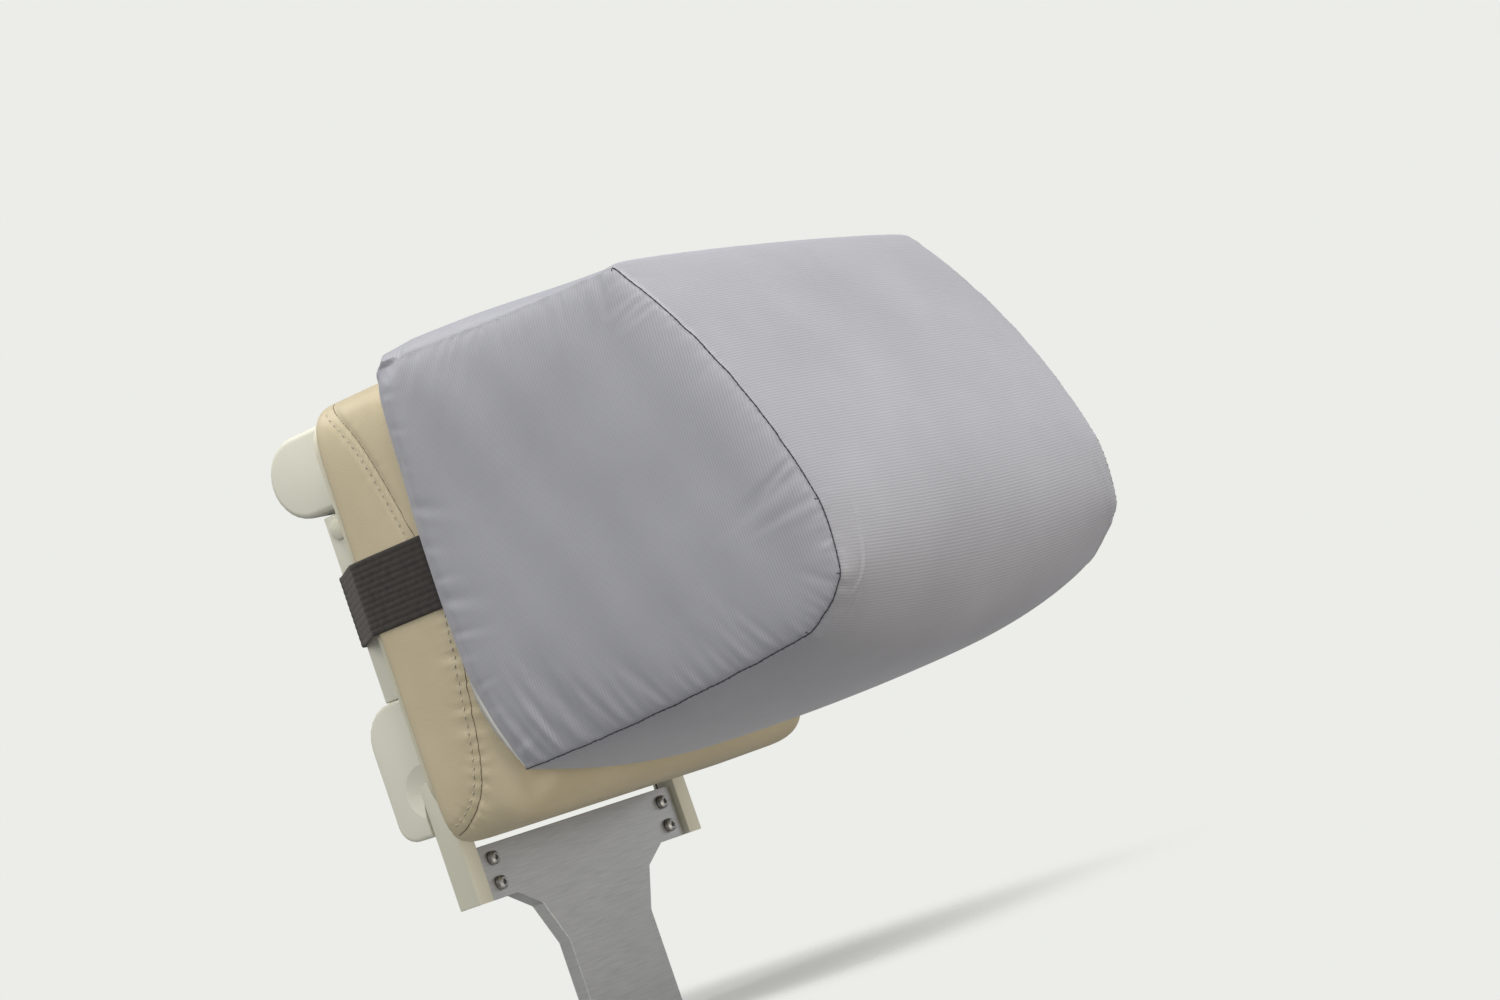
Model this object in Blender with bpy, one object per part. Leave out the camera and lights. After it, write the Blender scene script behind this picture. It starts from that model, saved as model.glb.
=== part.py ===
"""Strap-on wedge cushion on a tilting chair headrest, with its stem and release handle.

Lengths are in millimetres and mm() turns them into metres. X runs across the headrest and is its
symmetry axis, -Y is the side of the head, +Y the back, and +Z runs up along the stem. The origin
is the middle of the stem's bottom end face.
"""

import math

import bmesh
import bpy
from mathutils import Vector

# Driving dimensions, in millimetres
GAP = 0.3

BAR_HALF_WIDTH = 40.0
BAR_HALF_THICKNESS = 4.0
CROSSHEAD_HALF_WIDTH = 94.0
CROSSHEAD_BOTTOM = 92.0
CROSSHEAD_TOP = 122.0
ARM_INNER_X = 95.5
ARM_OUTER_X = 108.0
ARM_HALF_DEPTH = 7.5

HINGE_Z = 157.0
SHAFT_RADIUS = 5.0
SHAFT_BORE = SHAFT_RADIUS + GAP
DRUM_RADIUS = 11.0
DRUM_HALF_WIDTH = 12.0
BUSH_RADIUS = 8.0
TILT_LIMIT = 25.0

FRAME_INNER_X = 88.0
FRAME_OUTER_X = 91.0
FRAME_FRONT = -18.2
FRAME_REAR = 5.0
SPINE_HALF_WIDTH = 107.0
SPINE_FRONT = -17.0
SPINE_REAR = 11.5
HOUSING_HALF_WIDTH = 109.0
HOUSING_FRONT = -21.3
HOUSING_REAR = 29.5
HOUSING_BOTTOM = 135.0
HOUSING_TOP = 211.0
HOUSING_WALL = 2.6

HANDLE_Y = 3.0
HANDLE_Z = 309.0
HANDLE_FRONT = -11.0
HANDLE_REAR = 38.0
HANDLE_BOTTOM = 320.0
HANDLE_TOP = 366.0
HANDLE_WALL = 3.0
PIN_RADIUS = 2.6
PIN_BORE = PIN_RADIUS + GAP

ROD_FRONT = -16.0
ROD_REAR = -12.5
ROD_HALF_WIDTH = 8.0
ROD_TOP = 300.6
NOSE_Y = -14.2
NOSE_RADIUS = 2.6

PLATE_FRONT = -21.6
PLATE_REAR = -18.6
BOARD_FRONT = -25.7
BOARD_REAR = -21.9

PAD_HALF_WIDTH = 140.0
PAD_BOTTOM = 124.0
PAD_TOP = 372.0
PAD_FRONT = -95.2
PAD_BACK = -26.5
# Exponent of the pad's rounded outline: 1 is an ellipse and 0 a sharp rectangle
PAD_SQUARENESS = 0.17
COVER_THICKNESS = 2.0

CUSHION_BACK = -96.2
CUSHION_HALF_WIDTH = 147.5
# Side seam corners as (y, z), and how far the panels swell past each of them at mid width
CUSHION_CORNERS = (
    ((CUSHION_BACK, 375.3), (0.0, 2.0)),
    ((-248.3, 367.6), (-2.0, 4.0)),
    ((-317.2, 222.5), (-4.0, 0.0)),
    ((-315.0, 185.0), (-6.0, -7.0)),
    ((-286.5, 163.4), (-7.0, -23.0)),
    ((CUSHION_BACK, 150.0), (0.0, -14.0)),
)

STRAP_LOW = 244.0
STRAP_HIGH = 284.0
STRAP_THICKNESS = 1.6


def mm(value):
    return value * 0.001


# Shared helpers


def finish(name, colour, roughness, metallic):
    material = bpy.data.materials.new(name + "_finish")
    material.use_nodes = True
    shader = material.node_tree.nodes["Principled BSDF"]
    shader.inputs["Base Color"].default_value = (*colour, 1.0)
    shader.inputs["Roughness"].default_value = roughness
    shader.inputs["Metallic"].default_value = metallic
    return material


IVORY = ((0.70, 0.69, 0.60), 0.42, 0.0)
STEEL = ((0.56, 0.56, 0.55), 0.30, 1.0)
PAINTED = ((0.66, 0.65, 0.58), 0.40, 0.0)
BLACK = ((0.03, 0.03, 0.03), 0.55, 0.0)
BRONZE = ((0.50, 0.36, 0.16), 0.35, 1.0)
FOAM = ((0.78, 0.76, 0.62), 0.90, 0.0)
LEATHER = ((0.56, 0.51, 0.38), 0.42, 0.0)
CLOTH = ((0.34, 0.34, 0.40), 0.50, 0.0)
ELASTIC = ((0.03, 0.026, 0.024), 0.80, 0.0)
OFF_WHITE = ((0.78, 0.76, 0.70), 0.70, 0.0)


def add_body(name, points, faces, look, smooth_degrees=35.0):
    """Make one closed body from points in millimetres, with its faces turned outward."""
    mesh = bpy.data.meshes.new(name)
    mesh.from_pydata([tuple(mm(value) for value in point) for point in points], [], faces)
    shape = bmesh.new()
    shape.from_mesh(mesh)
    bmesh.ops.recalc_face_normals(shape, faces=shape.faces)
    shape.to_mesh(mesh)
    shape.free()
    mesh.shade_smooth()
    mesh.set_sharp_from_angle(angle=math.radians(smooth_degrees))
    body = bpy.data.objects.new(name, mesh)
    bpy.context.collection.objects.link(body)
    body.data.materials.append(finish(name, *look))
    return body


def skin(name, loops, look, ring=False, smooth_degrees=35.0):
    """Join loops of equally many points; the ends are capped, or joined when ring is set."""
    count = len(loops[0])
    points = [point for loop in loops for point in loop]
    faces = []
    pairs = len(loops) if ring else len(loops) - 1
    for lower in range(pairs):
        upper = (lower + 1) % len(loops)
        for here in range(count):
            there = (here + 1) % count
            faces.append(
                (lower * count + here, lower * count + there, upper * count + there, upper * count + here)
            )
    if not ring:
        faces.append(tuple(range(count)))
        faces.append(tuple(range(len(points) - count, len(points))))
    return add_body(name, points, faces, look, smooth_degrees)


def prism(name, outline, low, high, axis, look):
    """Extrude an outline along axis: (y, z) along x, (x, z) along y or (x, y) along z."""
    place = {
        "x": lambda u, v, depth: (depth, u, v),
        "y": lambda u, v, depth: (u, depth, v),
        "z": lambda u, v, depth: (u, v, depth),
    }[axis]
    loops = [[place(u, v, depth) for u, v in outline] for depth in (low, high)]
    return skin(name, loops, look)


def block(name, x, y, z, look):
    """A rectangular block from three (low, high) pairs."""
    outline = [(x[0], y[0]), (x[1], y[0]), (x[1], y[1]), (x[0], y[1])]
    return prism(name, outline, z[0], z[1], "z", look)


def turned(name, profile, centre, look, sides=28, ring=False):
    """Turn (x, radius) pairs round an axis along x through centre, a (y, z) pair."""
    loops = []
    for x, radius in profile:
        turns = [2 * math.pi * side / sides for side in range(sides)]
        circle = [(centre[0] + radius * math.cos(t), centre[1] + radius * math.sin(t)) for t in turns]
        loops.append([(x, y, z) for y, z in circle])
    return skin(name, loops, look, ring)


def arc(centre, radius, start, end, steps):
    """Points on an arc between two angles in degrees, both ends included."""
    angles = [math.radians(start + (end - start) * step / steps) for step in range(steps + 1)]
    return [(centre[0] + radius * math.cos(a), centre[1] + radius * math.sin(a)) for a in angles]


def rounded_box(low, high, radii, steps=5):
    """Outline of a box; radii go low-low, high-low, high-high, low-high."""
    corners = []
    spots = ((low[0], low[1]), (high[0], low[1]), (high[0], high[1]), (low[0], high[1]))
    inward = ((1, 1), (-1, 1), (-1, -1), (1, -1))
    for index, (spot, lean, radius) in enumerate(zip(spots, inward, radii)):
        centre = (spot[0] + lean[0] * radius, spot[1] + lean[1] * radius)
        if radius:
            corners += arc(centre, radius, 180 + 90 * index, 270 + 90 * index, steps)
        else:
            corners.append(spot)
    return corners


def shrink(points, inset):
    """Move every edge of a convex outline inward by inset (outward when it is negative)."""
    middle = sum((Vector(point) for point in points), Vector((0, 0))) / len(points)
    moved = []
    for index, point in enumerate(points):
        before, here = Vector(points[index - 1]), Vector(point)
        after = Vector(points[(index + 1) % len(points)])
        normals = []
        for start, end in ((before, here), (here, after)):
            normal = Vector((end.y - start.y, start.x - end.x)).normalized()
            if normal.dot(middle - start) < 0:
                normal = -normal
            normals.append(normal)
        lean = normals[0] + normals[1]
        moved.append(here + lean * (inset / (1 + normals[0].dot(normals[1]))))
    return moved


def rounded_prism(name, outline, low, high, radius, look, flat_from=None, flat_to=None, steps=3):
    """Extrude a (y, z) outline along x with rounded end edges; y stays clear of the flat faces."""
    stations = []
    for step in range(steps + 1):
        turn = math.radians(90 * step / steps)
        stations.append((low + radius * (1 - math.cos(turn)), radius * (1 - math.sin(turn))))
    stations += [(low + high - x, inset) for x, inset in reversed(stations)]
    loops = []
    for x, inset in stations:
        loop = []
        for y, z in shrink(outline, inset):
            if flat_from is not None and y < flat_from + radius + 0.01:
                y = flat_from
            if flat_to is not None and y > flat_to - radius - 0.01:
                y = flat_to
            loop.append((x, y, z))
        loops.append(loop)
    return skin(name, loops, look)


def mark_cutter(cutter):
    cutter.hide_render = True
    cutter.display_type = "WIRE"


def carve(body, cutter, operation="DIFFERENCE", solver="EXACT"):
    """Cut or join with a Boolean; the tool stays in the file as a wire guide."""
    mark_cutter(cutter)
    step = body.modifiers.new(cutter.name, "BOOLEAN")
    step.operation = operation
    step.solver = solver
    step.object = cutter


def soften(body, width, segments=2, degrees=40.0):
    step = body.modifiers.new("soft_edges", "BEVEL")
    step.width = mm(width)
    step.segments = segments
    step.limit_method = "ANGLE"
    step.angle_limit = math.radians(degrees)


def add_axis(name, place, parent=None):
    """An empty on a joint's axis, which the moving pieces hang from."""
    axis = bpy.data.objects.new(name, None)
    axis.empty_display_size = 0.02
    axis.location = [mm(value) for value in place]
    bpy.context.collection.objects.link(axis)
    bpy.context.view_layer.update()
    if parent:
        hang([axis], parent)
    return axis


def hang(pieces, axis):
    """Parent pieces to an empty and keep them where they are."""
    bpy.context.view_layer.update()
    for piece in pieces:
        piece.parent = axis
        piece.matrix_parent_inverse = axis.matrix_world.inverted()


def both_sides():
    return (("left", -1), ("right", 1))


def side_span(side, inner, outer):
    return sorted((side * inner, side * outer))


# Stem: glide bar, arms, shaft and brake drum


def arm_screw_places():
    return [(x, z) for x in (-82.0, 82.0) for z in (100.0, 114.0)]


def make_glide_bar():
    shoulder = CROSSHEAD_BOTTOM - 34.0
    right = [(BAR_HALF_WIDTH - 3.0, 0.0), (BAR_HALF_WIDTH, 3.0), (BAR_HALF_WIDTH, shoulder)]
    right += [(BAR_HALF_WIDTH + 12.0, CROSSHEAD_BOTTOM - 10.0), (BAR_HALF_WIDTH + 30.0, CROSSHEAD_BOTTOM)]
    right += [(CROSSHEAD_HALF_WIDTH, CROSSHEAD_BOTTOM), (CROSSHEAD_HALF_WIDTH, CROSSHEAD_TOP)]
    outline = right + [(-x, z) for x, z in reversed(right)]
    bar = prism("glide_bar", outline, -BAR_HALF_THICKNESS, BAR_HALF_THICKNESS, "y", STEEL)
    for number, (x, z) in enumerate(arm_screw_places(), 1):
        carve(bar, upright_hole(f"bar_hole_{number}", x, z, 2.6, (-8.0, 8.0)))
    return bar


def upright_hole(name, x, z, radius, span):
    """A round cutter whose axis runs along y."""
    return prism(name, arc((x, z), radius, 0, 337.5, 15), span[0], span[1], "y", STEEL)


def make_stem_arm(word, side):
    span = side_span(side, ARM_INNER_X, ARM_OUTER_X)
    top = arc((0.0, HINGE_Z), ARM_HALF_DEPTH, 0, 180, 14)
    outline = [(-ARM_HALF_DEPTH, CROSSHEAD_BOTTOM), (ARM_HALF_DEPTH, CROSSHEAD_BOTTOM)] + top
    arm = rounded_prism(f"stem_arm_{word}", outline, span[0], span[1], 1.0, PAINTED, steps=2)
    foot_span = side_span(side, 70.0, ARM_INNER_X + 2.0)
    rear = BAR_HALF_THICKNESS + GAP
    foot_z = (CROSSHEAD_BOTTOM + 2.0, CROSSHEAD_TOP - 2.0)
    foot = block(f"arm_foot_{word}", foot_span, (rear, rear + 3.0), foot_z, PAINTED)
    carve(arm, foot, "UNION")
    bore_span = side_span(side, ARM_INNER_X - 1.0, ARM_OUTER_X - 3.5)
    bore = turned(f"arm_bore_{word}", [(x, SHAFT_BORE) for x in bore_span], (0.0, HINGE_Z), STEEL)
    carve(arm, bore)
    for number, (x, z) in enumerate(arm_screw_places(), 1):
        if x * side > 0:
            carve(arm, upright_hole(f"foot_hole_{word}_{number}", x, z, 2.6, (rear - 1.0, rear + 9.0)))
    return arm


def make_screw(name, x, z, head_y, tip_y, shank=2.2, look=STEEL):
    """A button-head screw along y with a six-sided socket in its head."""
    way = 1.0 if tip_y > head_y else -1.0
    seat = head_y + way * 3.2
    stations = ((head_y, shank * 1.2), (head_y + way * 0.9, shank * 1.75), (seat, shank * 1.85))
    stations += ((seat, shank), (tip_y - way * 0.6, shank), (tip_y, shank * 0.7))
    turns = [2 * math.pi * side / 12 for side in range(12)]
    loops = [[(x + r * math.cos(t), y, z + r * math.sin(t)) for t in turns] for y, r in stations]
    screw = skin(name, loops, look)
    hexagon = arc((x, z), shank * 0.75, 0, 300, 5)
    socket = prism(name + "_socket", hexagon, head_y - 1.0, head_y + 1.8, "y", look)
    if way < 0:
        socket.location.y = mm(-0.8)
    carve(screw, socket)
    return screw


def make_stem():
    pieces = [make_glide_bar()]
    for word, side in both_sides():
        pieces.append(make_stem_arm(word, side))
    for number, (x, z) in enumerate(arm_screw_places(), 1):
        pieces.append(make_screw(f"arm_screw_{number}", x, z, -BAR_HALF_THICKNESS - 3.5, 7.6))
    end = ARM_OUTER_X - 4.2
    profile = [(-end, 4.2), (-end + 0.8, SHAFT_RADIUS), (end - 0.8, SHAFT_RADIUS), (end, 4.2)]
    centre = (0.0, HINGE_Z)
    pieces.append(turned("hinge_shaft", profile, centre, STEEL))
    drum_x = (-DRUM_HALF_WIDTH, DRUM_HALF_WIDTH)
    pieces.append(make_ring("brake_drum", *drum_x, SHAFT_BORE, DRUM_RADIUS, centre, STEEL))
    for word, side in both_sides():
        low, high = side_span(side, 78.0, 84.5)
        pieces.append(make_ring(f"shaft_collar_{word}", low, high, SHAFT_BORE, 9.0, centre, STEEL))
    return pieces


def make_ring(name, low, high, inner, outer, centre, look):
    soft = 0.6
    profile = [(low, inner), (low, outer - soft), (low + soft, outer), (high - soft, outer)]
    profile += [(high, outer - soft), (high, inner)]
    return turned(name, profile, centre, look, 22, True)


# Carrier: frame, bushes, lower housing, spine cover, brackets


def make_carrier_frame():
    """A pressed channel: a back wall, and two side walls that carry the shaft and the handle."""
    wall_bottom = HINGE_Z + 20.0
    frame = block(
        "carrier_frame",
        (-FRAME_OUTER_X, FRAME_OUTER_X),
        (FRAME_REAR - 3.0, FRAME_REAR),
        (wall_bottom, HANDLE_Z - 12.0),
        PAINTED,
    )
    for word, side in both_sides():
        low, high = side_span(side, FRAME_INNER_X, FRAME_OUTER_X)
        lobe = arc((0.0, HINGE_Z), 12.5, 200, 340, 12)
        crown = arc((HANDLE_Y, HANDLE_Z), 5.2, 0, 150, 8)
        outline = lobe + [(FRAME_REAR, wall_bottom), (FRAME_REAR, HANDLE_Z - 8.0)] + crown
        outline += [(FRAME_FRONT, HANDLE_Z - 12.0), (FRAME_FRONT, wall_bottom)]
        cheek = prism(f"frame_cheek_{word}", outline, low, high, "x", PAINTED)
        carve(frame, cheek, "UNION")
        hole_span = side_span(side, FRAME_INNER_X - 3.0, FRAME_OUTER_X + 3.0)
        for what, centre, radius in (
            ("shaft", (0.0, HINGE_Z), BUSH_RADIUS + GAP),
            ("pin", (HANDLE_Y, HANDLE_Z), PIN_BORE),
        ):
            bore = turned(f"frame_{what}_hole_{word}", [(x, radius) for x in hole_span], centre, STEEL)
            carve(frame, bore)
    for x, z in plate_screw_places():
        through = (FRAME_REAR - 6.0, FRAME_REAR + 3.0)
        carve(frame, upright_hole(f"driver_hole_{x:.0f}_{z:.0f}", x, z, 5.5, through))
    return frame


def plate_screw_places():
    return [(x, z) for x in (-62.0, 62.0) for z in (226.0, 288.0)]


def make_bush(word, side):
    """A flanged plain bearing between the shaft and the frame's side wall."""
    inner, step, outer = FRAME_INNER_X - 2.6, FRAME_INNER_X - GAP, ARM_INNER_X - GAP
    profile = [(inner, SHAFT_BORE), (inner, 10.5), (step, 10.5), (step, BUSH_RADIUS)]
    profile += [(outer, BUSH_RADIUS), (outer, SHAFT_BORE)]
    placed = [(side * x, radius) for x, radius in profile]
    return turned(f"hinge_bush_{word}", placed, (0.0, HINGE_Z), BRONZE, 22, True)


def arm_recess():
    """Side view of the room round a stem arm: close behind it, and open in front for the tilt."""
    room = ARM_HALF_DEPTH + 0.5
    swing = math.radians(TILT_LIMIT + 2.0)
    reach = 28.0
    last = 180 - math.degrees(swing)
    outline = [(room, HOUSING_BOTTOM - 6.0)] + arc((0.0, HINGE_Z), room, 0, last, 12)
    tangent = outline[-1]
    outline.append((tangent[0] - reach * math.sin(swing), tangent[1] - reach * math.cos(swing)))
    outline.append((HOUSING_FRONT - 6.0, HOUSING_BOTTOM - 6.0))
    return outline


def make_housing_half(name, front, rear, radii, flat):
    """One half of the hollow housing round the tilt hinge, open below."""
    outline = rounded_box((front, HOUSING_BOTTOM), (rear, HOUSING_TOP), radii, 6)
    half = rounded_prism(name, outline, -HOUSING_HALF_WIDTH, HOUSING_HALF_WIDTH, 2.2, IVORY, *flat)
    inner_front, inner_rear = HOUSING_FRONT + HOUSING_WALL, HOUSING_REAR - HOUSING_WALL
    cavity = rounded_box(
        (inner_front, HOUSING_BOTTOM - 6.0), (inner_rear, HOUSING_TOP - HOUSING_WALL), (0, 0, 18.0, 0), 5
    )
    hollow = FRAME_OUTER_X + 1.0
    carve(half, prism(name + "_cavity", cavity, -hollow, hollow, "x", IVORY))
    slot = (FRAME_FRONT - 0.5, FRAME_REAR + 0.6)
    slot_z = (HOUSING_TOP - 8.0, HOUSING_TOP + 5.0)
    carve(half, block(name + "_frame_slot", (-hollow, hollow), slot, slot_z, IVORY))
    for word, side in both_sides():
        recess_span = side_span(side, ARM_INNER_X - 0.7, HOUSING_HALF_WIDTH + 4.0)
        carve(half, prism(f"{name}_recess_{word}", arm_recess(), *recess_span, "x", IVORY))
        bush_span = side_span(side, FRAME_OUTER_X - 1.0, ARM_INNER_X + 1.0)
        seat = [(x, BUSH_RADIUS + GAP) for x in bush_span]
        carve(half, turned(f"{name}_seat_{word}", seat, (0.0, HINGE_Z), IVORY))
        dish = [(side * (HOUSING_HALF_WIDTH + 0.5), 16.4), (side * (HOUSING_HALF_WIDTH - 3.0), 6.0)]
        carve(half, turned(f"{name}_dish_{word}", dish, (1.5, HINGE_Z + 2.0), IVORY))
    return half


def make_spine_cover():
    """The visible back of the carrier, a moulded channel with ears round the handle's pins."""
    bottom, wall_top = HOUSING_TOP + GAP, HANDLE_Z - 0.5
    outline = [(SPINE_FRONT, bottom), (SPINE_REAR, bottom), (SPINE_REAR, HANDLE_Z + 8.5)]
    outline += [(HANDLE_Y, HANDLE_Z + 8.5), (SPINE_FRONT, HANDLE_Z + 3.0)]
    cover = rounded_prism("spine_cover", outline, -SPINE_HALF_WIDTH, SPINE_HALF_WIDTH, 1.5, IVORY)
    inside = SPINE_HALF_WIDTH - 2.8
    channel = block(
        "spine_channel",
        (-inside, inside),
        (SPINE_FRONT - 4.0, SPINE_REAR - 2.6),
        (bottom - 4.0, 330.0),
        IVORY,
    )
    carve(cover, channel)
    carve(cover, block("spine_top_cut", (-inside, inside), (-20.0, 20.0), (wall_top, 330.0), IVORY))
    for word, side in both_sides():
        span = side_span(side, inside - 3.0, SPINE_HALF_WIDTH + 3.0)
        hole = [(x, PIN_BORE) for x in span]
        carve(cover, turned(f"spine_pin_hole_{word}", hole, (HANDLE_Y, HANDLE_Z), IVORY))
    return cover


def make_handle_pin(word, side):
    """A headed pivot pin; its round head is the boss beside the handle."""
    tail, head, face = FRAME_INNER_X - 2.0, SPINE_HALF_WIDTH + GAP, SPINE_HALF_WIDTH + 1.9
    profile = [(tail, PIN_RADIUS - 0.5), (tail + 0.5, PIN_RADIUS), (head, PIN_RADIUS), (head, 5.6)]
    profile += [(face - 0.7, 5.6), (face, 4.4)]
    placed = [(side * x, radius) for x, radius in profile]
    return turned(f"handle_pin_{word}", placed, (HANDLE_Y, HANDLE_Z), PAINTED, 20)


def make_mounting_plate():
    outline = rounded_box((-92.0, 216.0), (92.0, 297.0), (6.0, 6.0, 6.0, 6.0), 4)
    plate = prism("mounting_plate", outline, PLATE_FRONT, PLATE_REAR, "y", PAINTED)
    for number, (x, z) in enumerate(plate_screw_places(), 1):
        carve(plate, upright_hole(f"plate_hole_{number}", x, z, 2.7, (PLATE_FRONT - 2.0, PLATE_REAR + 2.0)))
    return plate


def make_rod_guide():
    """A plastic block that keeps the release rod straight."""
    guide = block("rod_guide", (-15.0, 15.0), (PLATE_REAR + GAP, -7.0), (222.0, 236.0), BLACK)
    soften(guide, 1.0, 1)
    slot_x = (-ROD_HALF_WIDTH - GAP, ROD_HALF_WIDTH + GAP)
    carve(guide, block("guide_slot", slot_x, (ROD_FRONT - GAP, ROD_REAR + GAP), (210.0, 250.0), BLACK))
    return guide


def make_spring_seat():
    """A bent tab on the frame's back wall, under the return spring."""
    low_z, wall = 244.0, FRAME_REAR - 3.0 - GAP
    outline = [(wall, low_z), (wall, low_z + 16.0), (wall - 2.0, low_z + 16.0)]
    outline += [(wall - 2.0, low_z + 2.0), (-10.5, low_z + 2.0), (-10.5, low_z)]
    return prism("spring_seat", outline, -7.0, 7.0, "x", PAINTED)


def make_return_spring():
    """A compression spring between the seat and the rod's tab, with flat closed-off ends."""
    centre_y, radius, wire, turns, per_turn, sides = -5.6, 3.4, 0.55, 6, 9, 5
    low, high = 246.0 + GAP + wire, 280.0 - GAP - wire
    loops = []
    for step in range(turns * per_turn + 1):
        angle = 2 * math.pi * step / per_turn
        height = low + (high - low) * step / (turns * per_turn)
        outward = Vector((math.cos(angle), math.sin(angle), 0.0))
        middle = Vector((0.0, centre_y, height)) + outward * radius
        ring = [2 * math.pi * side / sides for side in range(sides)]
        loop = [outward * math.cos(t) + Vector((0.0, 0.0, math.sin(t))) for t in ring]
        loops.append([tuple(middle + wire * spoke) for spoke in loop])
    return skin("return_spring", loops, STEEL)


def make_carrier():
    pieces = [make_carrier_frame()]
    for word, side in both_sides():
        pieces.append(make_bush(word, side))
    split = GAP / 2
    rear_half = (split, HOUSING_REAR, (0, 11.0, 21.0, 0), (split,))
    front_half = (HOUSING_FRONT, -split, (4.0, 0, 0, 5.0), (None, -split))
    pieces.append(make_housing_half("lower_housing_rear", *rear_half))
    pieces.append(make_housing_half("lower_housing_front", *front_half))
    pieces.append(make_spine_cover())
    for word, side in both_sides():
        pieces.append(make_handle_pin(word, side))
    pieces += [make_mounting_plate(), make_rod_guide(), make_spring_seat(), make_return_spring()]
    for number, (x, z) in enumerate(plate_screw_places(), 1):
        pieces.append(make_screw(f"pad_screw_{number}", x, z, PLATE_REAR + 3.5, BOARD_FRONT + 0.3, 2.3))
    return pieces


# Release handle and rod


def half_round(grow):
    """Side view of the handle's D section, grown outward by grow."""
    radius = (HANDLE_TOP - HANDLE_BOTTOM) / 2
    centre = (HANDLE_REAR - radius, HANDLE_BOTTOM + radius)
    bow = arc(centre, radius + grow, -90, 90, 16)
    return [(HANDLE_FRONT, HANDLE_BOTTOM - grow)] + bow + [(HANDLE_FRONT, HANDLE_TOP + grow)]


def make_handle_shell():
    ends = (-HOUSING_HALF_WIDTH, HOUSING_HALF_WIDTH)
    shell = rounded_prism("handle_shell", half_round(0.0), *ends, 3.4, IVORY, HANDLE_FRONT, steps=4)
    inner = half_round(-HANDLE_WALL)
    inner[0] = (HANDLE_FRONT - 5.0, HANDLE_BOTTOM + HANDLE_WALL)
    inner[-1] = (HANDLE_FRONT - 5.0, HANDLE_TOP - HANDLE_WALL)
    inside = HOUSING_HALF_WIDTH - HANDLE_WALL
    carve(shell, prism("handle_hollow", inner, -inside, inside, "x", IVORY))
    for number, (low, high) in enumerate(((-99.6, -92.6), (-7.0, 7.0), (92.6, 99.6)), 1):
        window = (HANDLE_BOTTOM - 4.0, HANDLE_BOTTOM + HANDLE_WALL + 2.0)
        carve(shell, block(f"lug_window_{number}", (low, high), (HANDLE_FRONT - 4.0, 16.0), window, IVORY))
    return shell


def handle_screw_places():
    return [(-50.0, 343.0), (50.0, 343.0)]


def make_handle_insert():
    """The metal core of the handle: a closing plate, two pivot lugs and the nose that works the rod."""
    front, rear = HANDLE_FRONT + GAP, HANDLE_FRONT + 3.3
    inside = HOUSING_HALF_WIDTH - HANDLE_WALL - GAP
    low, high = HANDLE_BOTTOM + HANDLE_WALL + GAP, HANDLE_TOP - HANDLE_WALL - GAP
    insert = block("handle_insert", (-inside, inside), (front, rear), (low, high), PAINTED)
    eye = arc((HANDLE_Y, HANDLE_Z), 5.0, 180, 360, 12)
    lug = eye + [(12.0, 330.0), (rear - 1.0, 334.0), (rear - 1.0, 318.0)]
    for word, side in both_sides():
        span = side_span(side, 93.6, 98.8)
        carve(insert, prism(f"handle_lug_{word}", lug, span[0], span[1], "x", PAINTED), "UNION")
        bore = [(x, PIN_BORE) for x in side_span(side, 91, 102)]
        carve(insert, turned(f"handle_bore_{word}", bore, (HANDLE_Y, HANDLE_Z), STEEL))
    nose_z = ROD_TOP + GAP + NOSE_RADIUS
    nose = arc((NOSE_Y, nose_z), NOSE_RADIUS, 150, 330, 9)
    finger = nose + [(1.0, 318.0), (1.0, 330.0), (rear - 1.5, 330.0), (rear - 1.5, 319.0), (-13.0, 312.0)]
    carve(insert, prism("handle_nose", finger, -6.0, 6.0, "x", PAINTED), "UNION")
    for number, (x, z) in enumerate(handle_screw_places(), 1):
        carve(insert, upright_hole(f"insert_hole_{number}", x, z, 2.6, (front - 2.0, rear + 2.0)))
    return insert


def make_handle():
    pieces = [make_handle_shell(), make_handle_insert()]
    for number, (x, z) in enumerate(handle_screw_places(), 1):
        post = f"handle_post_{number}"
        outline = arc((x, z), 5.0, 0, 337.5, 15)
        carve(pieces[0], prism(post, outline, HANDLE_FRONT + 3.6, HANDLE_REAR - 1.5, "y", IVORY), "UNION")
        carve(pieces[0], upright_hole(post + "_hole", x, z, 2.5, (HANDLE_FRONT + 1.0, 12.0)))
        pieces.append(make_screw(f"handle_screw_{number}", x, z, HANDLE_FRONT - 3.3, 8.0))
    return pieces


def make_release_rod():
    """A flat rod from the handle's nose down to a hook that holds the shoe under the drum."""
    sole_top, sole = 144.6, 4.2
    outline = [(ROD_FRONT, sole_top - sole), (9.0, sole_top - sole), (9.0, sole_top)]
    outline += [(ROD_REAR, sole_top), (ROD_REAR, ROD_TOP), (ROD_FRONT, ROD_TOP)]
    rod = prism("release_rod", outline, -ROD_HALF_WIDTH, ROD_HALF_WIDTH, "x", STEEL)
    tab = block("rod_tab", (-6.0, 6.0), (ROD_REAR - 1.0, -1.6), (280.0, 282.2), STEEL)
    carve(rod, tab, "UNION")
    return rod


def make_brake_shoe():
    """The friction lining on the hook, hollowed to the drum's radius."""
    curve = arc((0.0, HINGE_Z), DRUM_RADIUS + GAP, 232, 308, 10)
    outline = [(-8.6, 144.9), (8.6, 144.9)] + [(y, z) for y, z in reversed(curve)]
    return prism("brake_shoe", outline, -11.0, 11.0, "x", BLACK)


# Pad: board, foam and cover


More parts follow.
